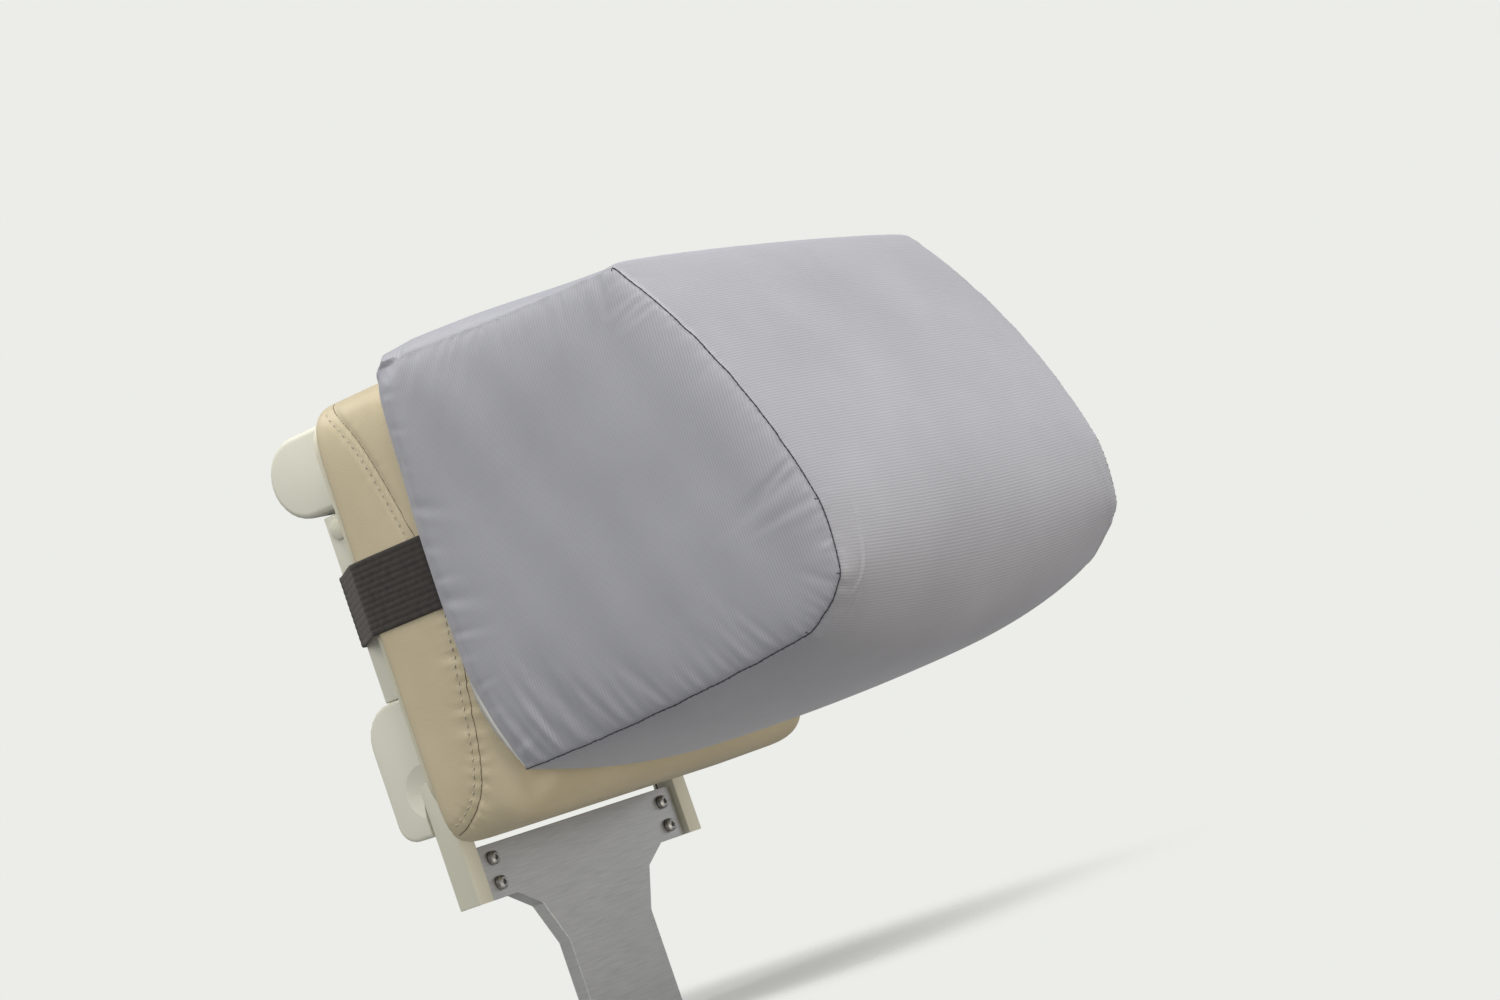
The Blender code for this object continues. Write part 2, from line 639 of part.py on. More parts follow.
def pad_outline(inset, y, steps=36):
    """Front view of the pad at depth y: a rounded oblong with slightly bowed sides."""
    middle = (PAD_BOTTOM + PAD_TOP) / 2
    half_width, half_height = PAD_HALF_WIDTH - inset, (PAD_TOP - PAD_BOTTOM) / 2 - inset
    points = []
    for step in range(steps):
        angle = 2 * math.pi * (step + 0.5) / steps
        across, up = math.cos(angle), math.sin(angle)
        x = half_width * math.copysign(abs(across) ** PAD_SQUARENESS, across)
        z = middle + half_height * math.copysign(abs(up) ** PAD_SQUARENESS, up)
        points.append((x, y, z))
    return points


def pad_depths(skin_depth):
    """Pairs of inset and y from the front face to the back rim, moved inward by skin_depth."""
    stations = ((24.0, PAD_FRONT), (12.0, -93.0), (5.0, -88.0), (1.0, -78.0), (0.0, -61.0))
    stations += ((0.0, -38.0), (0.6, -30.0), (2.2, PAD_BACK))
    deeper = []
    for inset, y in stations:
        if y < -85.0:
            y += skin_depth
        deeper.append((inset + skin_depth, y))
    return deeper


def make_pad():
    outer = [pad_outline(inset, y) for inset, y in pad_depths(0.0)]
    inner = [pad_outline(inset, y) for inset, y in pad_depths(COVER_THICKNESS)]
    core = [pad_outline(inset, y) for inset, y in pad_depths(COVER_THICKNESS + GAP)]
    core[-1] = [(x, y - GAP, z) for x, y, z in core[-1]]
    cover = open_shell("pad_cover", outer, inner, LEATHER)
    foam = skin("pad_foam", core, FOAM, smooth_degrees=80.0)
    outline = rounded_box((-136.0, PAD_BOTTOM + 16.0), (136.0, PAD_TOP - 5.0), (22.0, 22.0, 22.0, 22.0), 6)
    board = prism("pad_back_board", outline, BOARD_FRONT, BOARD_REAR, "y", OFF_WHITE)
    for number, (x, z) in enumerate(plate_screw_places(), 1):
        carve(board, upright_hole(f"board_hole_{number}", x, z, 2.6, (BOARD_FRONT - 2.0, BOARD_REAR + 2.0)))
    return [board, foam, cover]


def open_shell(name, outer, inner, look):
    """A bowl from outer loops and inner loops, both running from the closed end to the rim."""
    count = len(outer[0])
    loops = outer + list(reversed(inner))
    points = [point for loop in loops for point in loop]
    faces = [tuple(range(count)), tuple(range(len(points) - count, len(points)))]
    for lower in range(len(loops) - 1):
        for here in range(count):
            there = (here + 1) % count
            base, top = lower * count, (lower + 1) * count
            faces.append((base + here, base + there, top + there, top + here))
    return add_body(name, points, faces, look, 80.0)


# Wedge cushion and its strap


def cushion_profile(inset, fullness):
    """Side view of the wedge with bowed edges: fullness is 0 at a side seam and 1 at mid width."""
    corners = [Vector(seam) + Vector(swell) * fullness for seam, swell in CUSHION_CORNERS]
    sagittas = (3.0, 9.0, 1.5, 1.2, 3.0, 0.0)
    points = []
    for index, (start, sagitta) in enumerate(zip(corners, sagittas)):
        along = corners[(index + 1) % len(corners)] - start
        inward = Vector((-along.y, along.x)).normalized()
        steps = 6 if sagitta > 2.0 else 2
        for step in range(steps):
            share = step / steps
            points.append(start + along * share - inward * sagitta * 4 * share * (1 - share))
    return shrink(points, inset)


def cushion_loops(depth, back, domed):
    """Cross-sections along x, swollen in the middle and, if domed, puffed out past the side seams."""
    half = [(0.0, 0.0), (60.0, 0.0), (105.0, 0.0), (CUSHION_HALF_WIDTH - depth, 0.0)]
    if domed:
        half += [(CUSHION_HALF_WIDTH + 2.6, 10.0), (CUSHION_HALF_WIDTH + 3.6, 34.0)]
    sections = [(-x, grow) for x, grow in reversed(half[1:])] + half
    loops = []
    for x, grow in sections:
        fullness = max(0.0, 1.0 - (x / CUSHION_HALF_WIDTH) ** 2)
        loops.append([(x, min(y, back), z) for y, z in cushion_profile(grow + depth, fullness)])
    return loops


def make_cushion():
    skin_depth = 2.0
    cover = skin("cushion_cover", cushion_loops(0.0, CUSHION_BACK, True), CLOTH, smooth_degrees=25.0)
    hollow_loops = []
    for loop in cushion_loops(skin_depth, CUSHION_BACK, False):
        reach = max(y for _, y, _ in loop) - 0.5
        hollow_loops.append([(x, CUSHION_BACK + 4.0 if y > reach else y, z) for x, y, z in loop])
    carve(cover, skin("cushion_hollow", hollow_loops, CLOTH), solver="MANIFOLD")
    foam_loops = cushion_loops(skin_depth + 2 * GAP, CUSHION_BACK - 2.4, False)
    foam = skin("cushion_foam", foam_loops, FOAM, smooth_degrees=80.0)
    panel_outline = rounded_box((-143.0, 153.5), (143.0, 371.5), (4.0, 4.0, 4.0, 4.0), 3)
    panel_y = (CUSHION_BACK - 2.0, CUSHION_BACK - 0.4)
    panel = prism("cushion_back_panel", panel_outline, *panel_y, "y", OFF_WHITE)
    return [cover, foam, panel]


def strap_path():
    """Right half of the strap in plan: from under the cushion round the pad to the spine's rear."""
    points = [(124.0, -95.1), (134.5, -95.0), (139.8, -92.6), (141.4, -87.5)]
    points += [(141.7, -76.0), (141.8, -61.0)]
    points += [(141.7, -35.0), (140.9, -26.0), (137.8, -20.6), (111.3, 8.2), (109.8, 11.1), (107.0, 12.5)]
    return points


def offset_line(points, distance):
    """A line beside an open line, at an even distance."""
    moved = []
    for index, point in enumerate(points):
        before = Vector(points[max(index - 1, 0)])
        after = Vector(points[min(index + 1, len(points) - 1)])
        along = (after - before).normalized()
        moved.append((point[0] - along.y * distance, point[1] + along.x * distance))
    return moved


def make_strap():
    right = strap_path()
    line = right + [(-x, y) for x, y in reversed(right)]
    half = STRAP_THICKNESS / 2
    outline = offset_line(line, half) + list(reversed(offset_line(line, -half)))
    strap = prism("elastic_strap", outline, STRAP_LOW, STRAP_HIGH, "z", ELASTIC)
    return strap


def main():
    for old in list(bpy.data.objects):
        bpy.data.objects.remove(old)
    make_stem()
    tilt_axis = add_axis("tilt_axis", (0.0, 0.0, HINGE_Z))
    hang(make_carrier() + make_pad() + make_cushion() + [make_strap()], tilt_axis)
    handle_axis = add_axis("handle_axis", (0.0, HANDLE_Y, HANDLE_Z), tilt_axis)
    hang(make_handle(), handle_axis)
    rod_axis = add_axis("rod_axis", (0.0, (ROD_FRONT + ROD_REAR) / 2, ROD_TOP), tilt_axis)
    hang([make_release_rod(), make_brake_shoe()], rod_axis)


main()
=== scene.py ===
"""Looks of the strap-on wedge cushion on its tilting headrest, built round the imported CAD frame.

Sizes are in millimetres, turned into metres when a mesh is made. X runs across, -Y is the side of
the head, +Y the back and +Z up. The cushion is a closed cover of four panels (wrap, back and two
sides) that is inflated by cloth simulation on a coarse grid and then gets its puckers and seams.
The pad, the strap and the spring are shaped directly.
"""

import math
import random

import bmesh
import bpy
import numpy as np
from mathutils import Matrix, Vector
from mathutils.bvhtree import BVHTree


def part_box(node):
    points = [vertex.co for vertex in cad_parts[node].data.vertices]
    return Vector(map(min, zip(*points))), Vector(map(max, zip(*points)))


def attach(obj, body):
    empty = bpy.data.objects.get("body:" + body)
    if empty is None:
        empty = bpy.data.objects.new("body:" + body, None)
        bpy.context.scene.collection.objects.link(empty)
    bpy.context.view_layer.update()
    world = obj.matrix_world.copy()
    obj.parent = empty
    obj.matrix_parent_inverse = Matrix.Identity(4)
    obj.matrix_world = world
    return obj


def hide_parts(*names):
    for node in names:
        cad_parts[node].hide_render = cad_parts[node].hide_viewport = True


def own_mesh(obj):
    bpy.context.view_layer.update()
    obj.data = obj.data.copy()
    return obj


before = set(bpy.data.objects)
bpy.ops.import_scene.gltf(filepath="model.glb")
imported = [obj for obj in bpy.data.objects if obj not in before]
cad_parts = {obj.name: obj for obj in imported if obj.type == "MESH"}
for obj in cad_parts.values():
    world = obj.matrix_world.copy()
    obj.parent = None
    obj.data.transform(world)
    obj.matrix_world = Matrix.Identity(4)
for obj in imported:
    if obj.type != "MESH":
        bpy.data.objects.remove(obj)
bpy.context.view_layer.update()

# Driving sizes, in millimetres

BACK_PLANE = 1000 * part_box("cushion_cover")[1].y
SEAM_X = 147.5
# Corners of the cushion's side seam as (y, z), and how far the wrap swells past them at mid width
CORNERS = (
    ((BACK_PLANE, 373.8), (0.0, 1.0)),
    ((-248.3, 367.6), (-2.0, 4.0)),
    ((-317.2, 222.5), (-4.0, 0.0)),
    ((-315.0, 185.0), (-6.0, -7.0)),
    ((-286.5, 163.4), (-7.0, -23.0)),
    ((BACK_PLANE, 150.0), (0.0, -14.0)),
)
EDGE_BOWS = (-1.3, 9.0, 1.5, 2.6, 3.0)
# How far the wrap stands above the side seam along the top, falling to nothing at the front corner
SHOULDER = 6.0
# Back edge of the side panel as (z, y), which bows backward round the pad
LIP = ((150.0, -96.2), (159.0, -92.8), (183.0, -85.7), (203.0, -81.2), (225.0, -80.4),
       (281.0, -80.2), (318.0, -82.6), (345.0, -83.6), (360.0, -84.6), (368.0, -87.4),
       (372.0, -91.5), (373.8, -96.2))
# The back panel bends into that edge between these distances from the middle
LIP_ROOT_X, LIP_EDGE_X = 142.6, 145.6
TOP_CELLS, FRONT_CELLS, ACROSS_CELLS = 132, 132, 112
# The simulation takes every fourth row and column, and its swell is limited on the wrap and sides
COARSE = 4
WRAP_SWELL, SIDE_SWELL = 1.8, 3.6
CUSHION_MIDDLE = np.array([0.0, -210.0, 265.0])
# The wrap's folded corners behind the top ends of the side seams
EAR_DEPTH, EAR_INSET, EAR_REACH = 5.0, 5.0, 8.0
# Heights between which the back panel's raw edge shows
RAW_EDGE = (151.5, 212.0)

PAD_LOW, PAD_HIGH = [1000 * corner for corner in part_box("pad_cover")]
PAD_SEAM = ((-37.0, 368.5), (-51.5, 349.0), (-60.3, 326.0), (-70.2, 285.3), (-76.5, 250.0),
            (-75.5, 226.0), (-70.5, 197.0), (-65.5, 170.0), (-59.5, 151.5), (-51.0, 140.4),
            (-39.5, 132.8), (-30.5, 130.0))
STITCH_GAP = 4.4

STRAP_LOW, STRAP_HIGH = [1000 * corner.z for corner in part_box("elastic_strap")]
STRAP_PATH = ((124.0, -95.1), (134.5, -95.0), (139.8, -92.6), (141.4, -87.5), (141.7, -76.0),
              (141.8, -61.0), (141.7, -35.0), (140.9, -26.0), (137.8, -20.6), (111.3, 8.2),
              (109.8, 11.1), (107.0, 12.5))
STRAP_RIBS = 12

# The shallow dish round the arm's slot in each side of the housing: centre as (y, z) and rim radius
DISH_CENTRE, DISH_RIM = (1.5, 159.0), 14.9


# Mesh helpers


def add_mesh(name, points, faces, material):
    """One mesh object from points in millimetres."""
    mesh = bpy.data.meshes.new(name)
    mesh.from_pydata((np.asarray(points, float) * 0.001).tolist(), [], faces)
    shape = bmesh.new()
    shape.from_mesh(mesh)
    bmesh.ops.recalc_face_normals(shape, faces=shape.faces)
    shape.to_mesh(mesh)
    shape.free()
    mesh.shade_smooth()
    made = bpy.data.objects.new(name, mesh)
    bpy.context.scene.collection.objects.link(made)
    mesh.materials.append(material)
    return made


def weld(grids, reach=0.02):
    """Points, grid-shaped index arrays and quads of several grids that share their edges."""
    flat = np.concatenate([grid.reshape(-1, 3) for grid in grids])
    keys = np.round(flat / reach).astype(np.int64)
    _, first, inverse = np.unique(keys, axis=0, return_index=True, return_inverse=True)
    inverse = inverse.reshape(-1)
    indices, start = [], 0
    for grid in grids:
        count = grid.shape[0] * grid.shape[1]
        indices.append(inverse[start : start + count].reshape(grid.shape[:2]))
        start += count
    quads = []
    for index in indices:
        ring = np.stack([index[:-1, :-1], index[1:, :-1], index[1:, 1:], index[:-1, 1:]], -1)
        for quad in ring.reshape(-1, 4).tolist():
            corners = list(dict.fromkeys(quad))
            if len(corners) > 2:
                quads.append(corners)
    return flat[first], indices, quads


def ring_faces(rings, sides, start=0):
    """Quads between neighbouring closed rings of points."""
    faces = []
    for ring in range(start, start + (rings - 1) * sides, sides):
        for side in range(sides):
            a, b = ring + side, ring + (side + 1) % sides
            faces.append((a, b, b + sides, a + sides))
    return faces


def unit(vectors):
    return vectors / np.maximum(np.linalg.norm(vectors, axis=-1, keepdims=True), 1e-9)


def run_along(line):
    """Distance of each point of a line from its start, measured along the line."""
    return np.concatenate([[0], np.cumsum(np.linalg.norm(np.diff(line, axis=0), axis=1))])


def outward_normals(grid, middle):
    normals = unit(np.cross(np.gradient(grid, axis=1), np.gradient(grid, axis=0)))
    flip = np.sum(normals * (grid - middle), -1, keepdims=True) < 0
    return np.where(flip, -normals, normals)


def smooth_line(points, spacing):
    """A smooth curve through points (Catmull-Rom), sampled evenly."""
    pts = np.asarray(points, float)
    ext = np.vstack([2 * pts[0] - pts[1], pts, 2 * pts[-1] - pts[-2]])
    dense = []
    for k in range(len(pts) - 1):
        a, b, c, d = ext[k : k + 4]
        t = np.linspace(0, 1, 24, endpoint=False)[:, None]
        dense.append(0.5 * (2 * b + (c - a) * t + (2 * a - 5 * b + 4 * c - d) * t**2
                            + (3 * b - a - 3 * c + d) * t**3))
    dense = np.vstack(dense + [pts[-1:]])
    return resample(dense, spacing)


def resample(line, spacing):
    """Evenly spaced points along a line, at about the spacing asked for."""
    length = run_along(line)
    count = max(2, int(round(length[-1] / spacing)))
    at = np.linspace(0, length[-1], count + 1)
    return np.stack([np.interp(at, length, line[:, k]) for k in range(line.shape[1])], 1)


def tube(name, lines, radius, material, sides=6, helper=(1.0, 0.15, 0.1)):
    """Round threads with closed ends along lines of 3-D points, none of which runs along helper."""
    points, faces = [], []
    for line in lines:
        line = np.asarray(line, float)
        along = unit(np.gradient(line, axis=0))
        first = unit(np.cross(along, helper))
        second = np.cross(along, first)
        base = len(points)
        for k, middle in enumerate(line):
            r = radius * (0.55 if k in (0, len(line) - 1) else 1.0)
            for side in range(sides):
                t = 2 * math.pi * side / sides
                points.append(middle + r * (math.cos(t) * first[k] + math.sin(t) * second[k]))
        faces += ring_faces(len(line), sides, base)
        faces.append(tuple(range(base, base + sides)))
        faces.append(tuple(range(base + (len(line) - 1) * sides, base + len(line) * sides)))
    return add_mesh(name, points, faces, material)


def nearest_on(line, y, z):
    """Distance and arc length of the nearest point of a (y, z) polyline, for arrays y and z."""
    best, where = np.full(y.shape, 1e9), np.zeros(y.shape)
    run = 0.0
    for (y0, z0), (y1, z1) in zip(line[:-1], line[1:]):
        size = math.hypot(y1 - y0, z1 - z0)
        share = np.clip(((y - y0) * (y1 - y0) + (z - z0) * (z1 - z0)) / size**2, 0, 1)
        gap = np.hypot(y - y0 - share * (y1 - y0), z - z0 - share * (z1 - z0))
        closer = gap < best
        best = np.where(closer, gap, best)
        where = np.where(closer, run + share * size, where)
        run += size
    return best, where


def step(x, low, high):
    """Smooth rise from 0 at low to 1 at high."""
    t = np.clip((x - low) / (high - low), 0, 1)
    return t * t * (3 - 2 * t)


# Materials


class Nodes:
    """Short names for making a node material."""

    def __init__(self, name):
        self.material = bpy.data.materials.new(name)
        self.material.use_nodes = True
        self.tree = self.material.node_tree
        self.shader = self.tree.nodes["Principled BSDF"]

    def add(self, kind, **values):
        node = self.tree.nodes.new(kind)
        for key, value in values.items():
            if key in node.inputs.keys():
                node.inputs[key].default_value = value
            else:
                setattr(node, key, value)
        return node

    def link(self, source, target):
        self.tree.links.new(source, target)

    def set(self, **values):
        for key, value in values.items():
            self.shader.inputs[key.replace("_", " ")].default_value = value

    def finish(self, colour, rough):
        """Link the shader's colour and roughness."""
        self.link(colour, self.shader.inputs["Base Color"])
        self.link(rough, self.shader.inputs["Roughness"])

    def place(self):
        """Object coordinates, in metres."""
        return self.add("ShaderNodeTexCoord").outputs["Object"]

    def noise(self, scale, detail=3.0, stretch=None):
        node = self.add("ShaderNodeTexNoise", Scale=scale, Detail=detail)
        vector = self.place()
        if stretch:
            mapping = self.add("ShaderNodeMapping")
            mapping.inputs["Scale"].default_value = stretch
            self.link(vector, mapping.inputs["Vector"])
            vector = mapping.outputs["Vector"]
        self.link(vector, node.inputs["Vector"])
        return node.outputs["Fac"]

    def ramp(self, value, stops):
        node = self.add("ShaderNodeValToRGB")
        while len(node.color_ramp.elements) < len(stops):
            node.color_ramp.elements.new(0.5)
        for element, (position, colour) in zip(node.color_ramp.elements, stops):
            element.position = position
            element.color = (*colour, 1.0)
        self.link(value, node.inputs["Fac"])
        return node.outputs["Color"]

    def scaled(self, value, low, high):
        """A value from 0 to 1 spread over low to high."""
        node = self.add("ShaderNodeMapRange")
        node.inputs["To Min"].default_value = low
        node.inputs["To Max"].default_value = high
        self.link(value, node.inputs["Value"])
        return node.outputs["Result"]

    def bump(self, *layers):
        """Chain (height, strength, distance in metres) layers into the shader's normal."""
        last = None
        for height, strength, distance in layers:
            node = self.add("ShaderNodeBump", Strength=strength, Distance=distance)
            self.link(height, node.inputs["Height"])
            if last:
                self.link(last, node.inputs["Normal"])
            last = node.outputs["Normal"]
        self.link(last, self.shader.inputs["Normal"])


def satin_fabric():
    """Grey-lavender twill: fine ribs along the cloth, darkened in their grooves as painted shade,
    satin shine and faint shading in the dye.
    """
    n = Nodes("grey_satin_fabric")
    cloth = n.add("ShaderNodeAttribute", attribute_name="cloth").outputs["Vector"]
    ribs = n.add("ShaderNodeTexWave", Scale=0.20, Distortion=0.35, Detail=1.5)
    ribs.bands_direction = "X"
    ribs.inputs["Detail Scale"].default_value = 0.4
    n.link(cloth, ribs.inputs["Vector"])
    weft = n.noise(900.0, 2.0)
    mottle = n.noise(14.0, 3.0)
    tone = n.ramp(mottle, ((0.30, (0.318, 0.320, 0.350)), (0.72, (0.362, 0.365, 0.396))))
    # The rib grooves are painted darker than the ridges: painted shade in the grooves.
    rib_groove_shade = n.scaled(ribs.outputs["Fac"], 0.89, 1.03)
    mix = n.add("ShaderNodeVectorMath", operation="SCALE")
    n.link(tone, mix.inputs[0])
    n.link(rib_groove_shade, mix.inputs["Scale"])
    n.finish(mix.outputs["Vector"], n.scaled(n.noise(60.0, 2.0), 0.40, 0.50))
    n.set(Sheen_Weight=0.30, Sheen_Roughness=0.45, Sheen_Tint=(0.88, 0.90, 1.0, 1.0))
    n.set(Specular_IOR_Level=0.42)
    n.bump((ribs.outputs["Fac"], 0.40, 0.00013), (weft, 0.10, 0.00005))
    return n.material


def leatherette():
    """Beige grained leatherette: pebble grain, fine creases, satin shine and slight soiling."""
    n = Nodes("beige_leatherette")
    pebble = n.add("ShaderNodeTexVoronoi", Scale=850.0, feature="SMOOTH_F1", Smoothness=0.5)
    n.link(n.place(), pebble.inputs["Vector"])
    fine = n.noise(1500.0, 3.0)
    crease = n.noise(160.0, 4.0, stretch=(1.0, 1.0, 0.45))
    dark, light = (0.470, 0.402, 0.262), (0.538, 0.468, 0.318)
    tone = n.ramp(n.noise(18.0, 4.0), ((0.28, dark), (0.74, light)))
    n.finish(tone, n.scaled(n.noise(120.0, 3.0), 0.36, 0.50))
    n.set(Specular_IOR_Level=0.5)
    grain = pebble.outputs["Distance"]
    n.bump((grain, 0.30, 0.00018), (fine, 0.18, 0.00008), (crease, 0.16, 0.0005))
    return n.material


def elastic():
    """Black woven elastic: dark ribs with a dusty brown cast and fine cross picks."""
    n = Nodes("black_elastic")
    cloth = n.add("ShaderNodeAttribute", attribute_name="cloth").outputs["Vector"]
    picks = n.add("ShaderNodeTexWave", Scale=0.40, Distortion=0.6, Detail=2.0)
    n.link(cloth, picks.inputs["Vector"])
    dark, light = (0.016, 0.013, 0.011), (0.034, 0.028, 0.023)
    tone = n.ramp(n.noise(260.0, 3.0), ((0.30, dark), (0.75, light)))
    n.finish(tone, n.scaled(n.noise(400.0, 2.0), 0.70, 0.90))
    n.set(Sheen_Weight=0.15, Sheen_Roughness=0.5, Sheen_Tint=(0.9, 0.82, 0.74, 1.0))
    n.bump((picks.outputs["Fac"], 0.5, 0.00020), (n.noise(1800.0, 2.0), 0.3, 0.00010))
    return n.material


def moulded(name, light, dark, rough, grain=2200.0, height=0.00004, specular=0.45):
    """Moulded plastic with a fine spark-eroded grain and a little uneven tone."""
    n = Nodes(name)
    tone = n.ramp(n.noise(9.0, 4.0), ((0.25, dark), (0.75, light)))
    n.finish(tone, n.scaled(n.noise(45.0, 4.0), rough - 0.05, rough + 0.06))
    n.set(Specular_IOR_Level=specular)
    n.bump((n.noise(grain, 2.0), 0.25, height), (n.noise(70.0, 2.0), 0.10, 0.0003))
    return n.material


def metal(name, light, dark, rough, stretch=(1.0, 1.0, 30.0)):
    """Drawn or ground metal: streaks along one direction, in tone, roughness and height."""
    n = Nodes(name)
    streak = n.noise(60.0, 4.0, stretch=stretch)
    tone = n.ramp(streak, ((0.3, dark), (0.7, light)))
    n.finish(tone, n.scaled(streak, rough - 0.08, rough + 0.10))
    n.set(Metallic=1.0)
    n.bump((streak, 0.18, 0.00004))
    return n.material


def thread(name, light, dark):
    """Twisted sewing thread."""
    n = Nodes(name)
    twist = n.add("ShaderNodeTexWave", Scale=900.0, Distortion=1.0)
    twist.bands_direction = "DIAGONAL"
    n.link(n.place(), twist.inputs["Vector"])
    tone = n.ramp(n.noise(700.0), ((0.3, dark), (0.7, light)))
    n.finish(tone, n.scaled(twist.outputs["Fac"], 0.6, 0.8))
    n.bump((twist.outputs["Fac"], 0.5, 0.00010))
    return n.material


def plain_cloth(name, light, dark):
    """Matt woven cloth."""
    n = Nodes(name)
    weave = n.add("ShaderNodeTexWave", Scale=520.0, Distortion=0.8)
    weave.bands_direction = "Z"
    n.link(n.place(), weave.inputs["Vector"])
    tone = n.ramp(n.noise(60.0), ((0.3, dark), (0.7, light)))
    n.finish(tone, n.scaled(n.noise(300.0), 0.75, 0.92))
    n.bump((weave.outputs["Fac"], 0.4, 0.00012), (n.noise(1200.0), 0.3, 0.0001))
    return n.material


FABRIC = satin_fabric()
LEATHER = leatherette()
ELASTIC = elastic()
SEAM_THREAD = thread("seam_thread_dark", (0.045, 0.045, 0.055), (0.018, 0.018, 0.024))
PAD_THREAD = thread("pad_thread", (0.58, 0.55, 0.45), (0.38, 0.35, 0.27))
# The pad's seam line is painted shadow: a dark tube with the thread look, laid in the seam's groove.
PAINTED_SEAM_SHADOW = thread("pad_seam_shadow", (0.20, 0.165, 0.105), (0.12, 0.10, 0.065))
BACKING = plain_cloth("white_backing_fabric", (0.86, 0.84, 0.78), (0.77, 0.75, 0.68))
IVORY = moulded("ivory_plastic", (0.720, 0.705, 0.600), (0.665, 0.650, 0.545), 0.42)
PAINT = moulded("ivory_paint", (0.680, 0.662, 0.545), (0.630, 0.612, 0.500), 0.36, 1400.0)
BOARD = moulded("board_plastic", (0.62, 0.595, 0.470), (0.56, 0.535, 0.420), 0.50)
BLACK_PLASTIC = moulded("black_plastic", (0.035, 0.035, 0.036), (0.022, 0.022, 0.023), 0.50)
LINING = moulded("brake_lining", (0.11, 0.10, 0.09), (0.07, 0.065, 0.06), 0.85, 900.0, 0.0002, 0.2)
FOAM = moulded("foam", (0.80, 0.77, 0.62), (0.70, 0.67, 0.53), 0.95, 500.0, 0.0006, 0.1)
STEEL = metal("bright_steel", (0.62, 0.62, 0.61), (0.50, 0.50, 0.49), 0.28)
BAR = metal("brushed_bar", (0.60, 0.60, 0.59), (0.50, 0.50, 0.495), 0.34)
SCREW = metal("fastener_steel", (0.52, 0.52, 0.51), (0.38, 0.38, 0.375), 0.34, (8.0, 8.0, 8.0))
BRONZE = metal("bush_bronze", (0.56, 0.40, 0.18), (0.42, 0.29, 0.12), 0.38, (20.0, 1.0, 1.0))


# Cushion


def bowed(start, end, bow):
    """Points from start to end on a shallow arch that stands outward by bow."""
    along = unit(end - start)
    outward = np.array([along[1], -along[0]])
    t = np.linspace(0, 1, 301)[:, None]
    return start + t * (end - start) + outward * 4 * bow * t * (1 - t)


def wrap_section(x):
    """The wrap's (y, z) section at x, from the top back corner round to the bottom back corner."""
    fullness = 1 - (x / SEAM_X) ** 2
    corners = [np.array(base) + fullness * np.array(swell) for base, swell in CORNERS]
    samples = 400
    dense, station = [], []
    for number, edges in enumerate(((0,), (1, 2), (3, 4))):
        line = np.vstack([bowed(corners[k], corners[k + 1], EDGE_BOWS[k]) for k in edges])
        line = resample(line, run_along(line)[-1] / samples)[: samples + 1]
        dense.append(line[:-1] if number < 2 else line)
        station.append(number + np.linspace(0, 1, samples + 1)[: len(dense[-1])])
    dense, station = np.vstack(dense), np.concatenate(station)
    ridge = softened(dense, int(round(5 + 22 * fullness)))
    nose = softened(dense, int(round(5 + 85 * fullness)))
    share = step(station, 1.15, 1.6)[:, None]
    soft = ridge * (1 - share) + nose * share
    at = np.concatenate([np.linspace(0, 1, TOP_CELLS + 1)[:-1],
                         np.linspace(1, 2, FRONT_CELLS + 1)[:-1],
                         np.linspace(2, 3, TOP_CELLS + 1)])
    return np.stack([np.interp(at, station, soft[:, k]) for k in (0, 1)], 1)


def softened(line, reach):
    """A polyline smoothed over reach samples to each side, with its ends kept."""
    kernel = np.hanning(2 * reach + 3)[1:-1]
    kernel /= kernel.sum()
    before, after = 2 * line[0] - line[reach:0:-1], 2 * line[-1] - line[-2 : -reach - 2 : -1]
    padded = np.vstack([before, line, after])
    return np.stack([np.convolve(padded[:, k], kernel, "valid") for k in (0, 1)], 1)


def across_stations():
    """X of the wrap's columns: 30 fine ones beside each side seam, then wider and wider ones."""
    number = np.arange(ACROSS_CELLS // 2)
    widening = np.minimum(6.5, 1.12 * 1.13 ** (number - 30.0))
    pitch = np.where(number < 30, 0.7 + 0.014 * number, widening)
    reach = np.concatenate([[0], np.cumsum(pitch)])
    reach *= SEAM_X / reach[-1]
    right = SEAM_X - reach
    return np.concatenate([-right[:-1], right[::-1]])


def seam_wander(wrap):
    """Small in-and-out drift of the hand-guided side seam, fading out across the wrap."""
    dice = random.Random(7)
    seam = wrap[:, 0, 1:]
    run = run_along(seam)
    drift = np.zeros(len(run))
    for _ in range(14):
        wave = dice.uniform(5, 30)
        drift += 0.0028 * wave * np.sin(2 * math.pi * run / wave + dice.uniform(0, 6.3))
    drift *= step(run, 0, 20) * step(run[-1] - run, 0, 20)
    along = unit(np.gradient(seam, axis=0))
    outward = np.stack([along[:, 1], -along[:, 0]], 1)
    reach = np.exp(-(SEAM_X - np.abs(wrap[..., 0])) / 4.0)
    shift = np.zeros_like(wrap)
    shift[..., 1:] = outward[:, None] * drift[:, None, None] * reach[..., None]
    return shift


def lip_y(z):
    """Y of the side panel's back edge at height z."""
    line = smooth_line(LIP, 1.0)
    return np.interp(z, line[:, 0], line[:, 1])


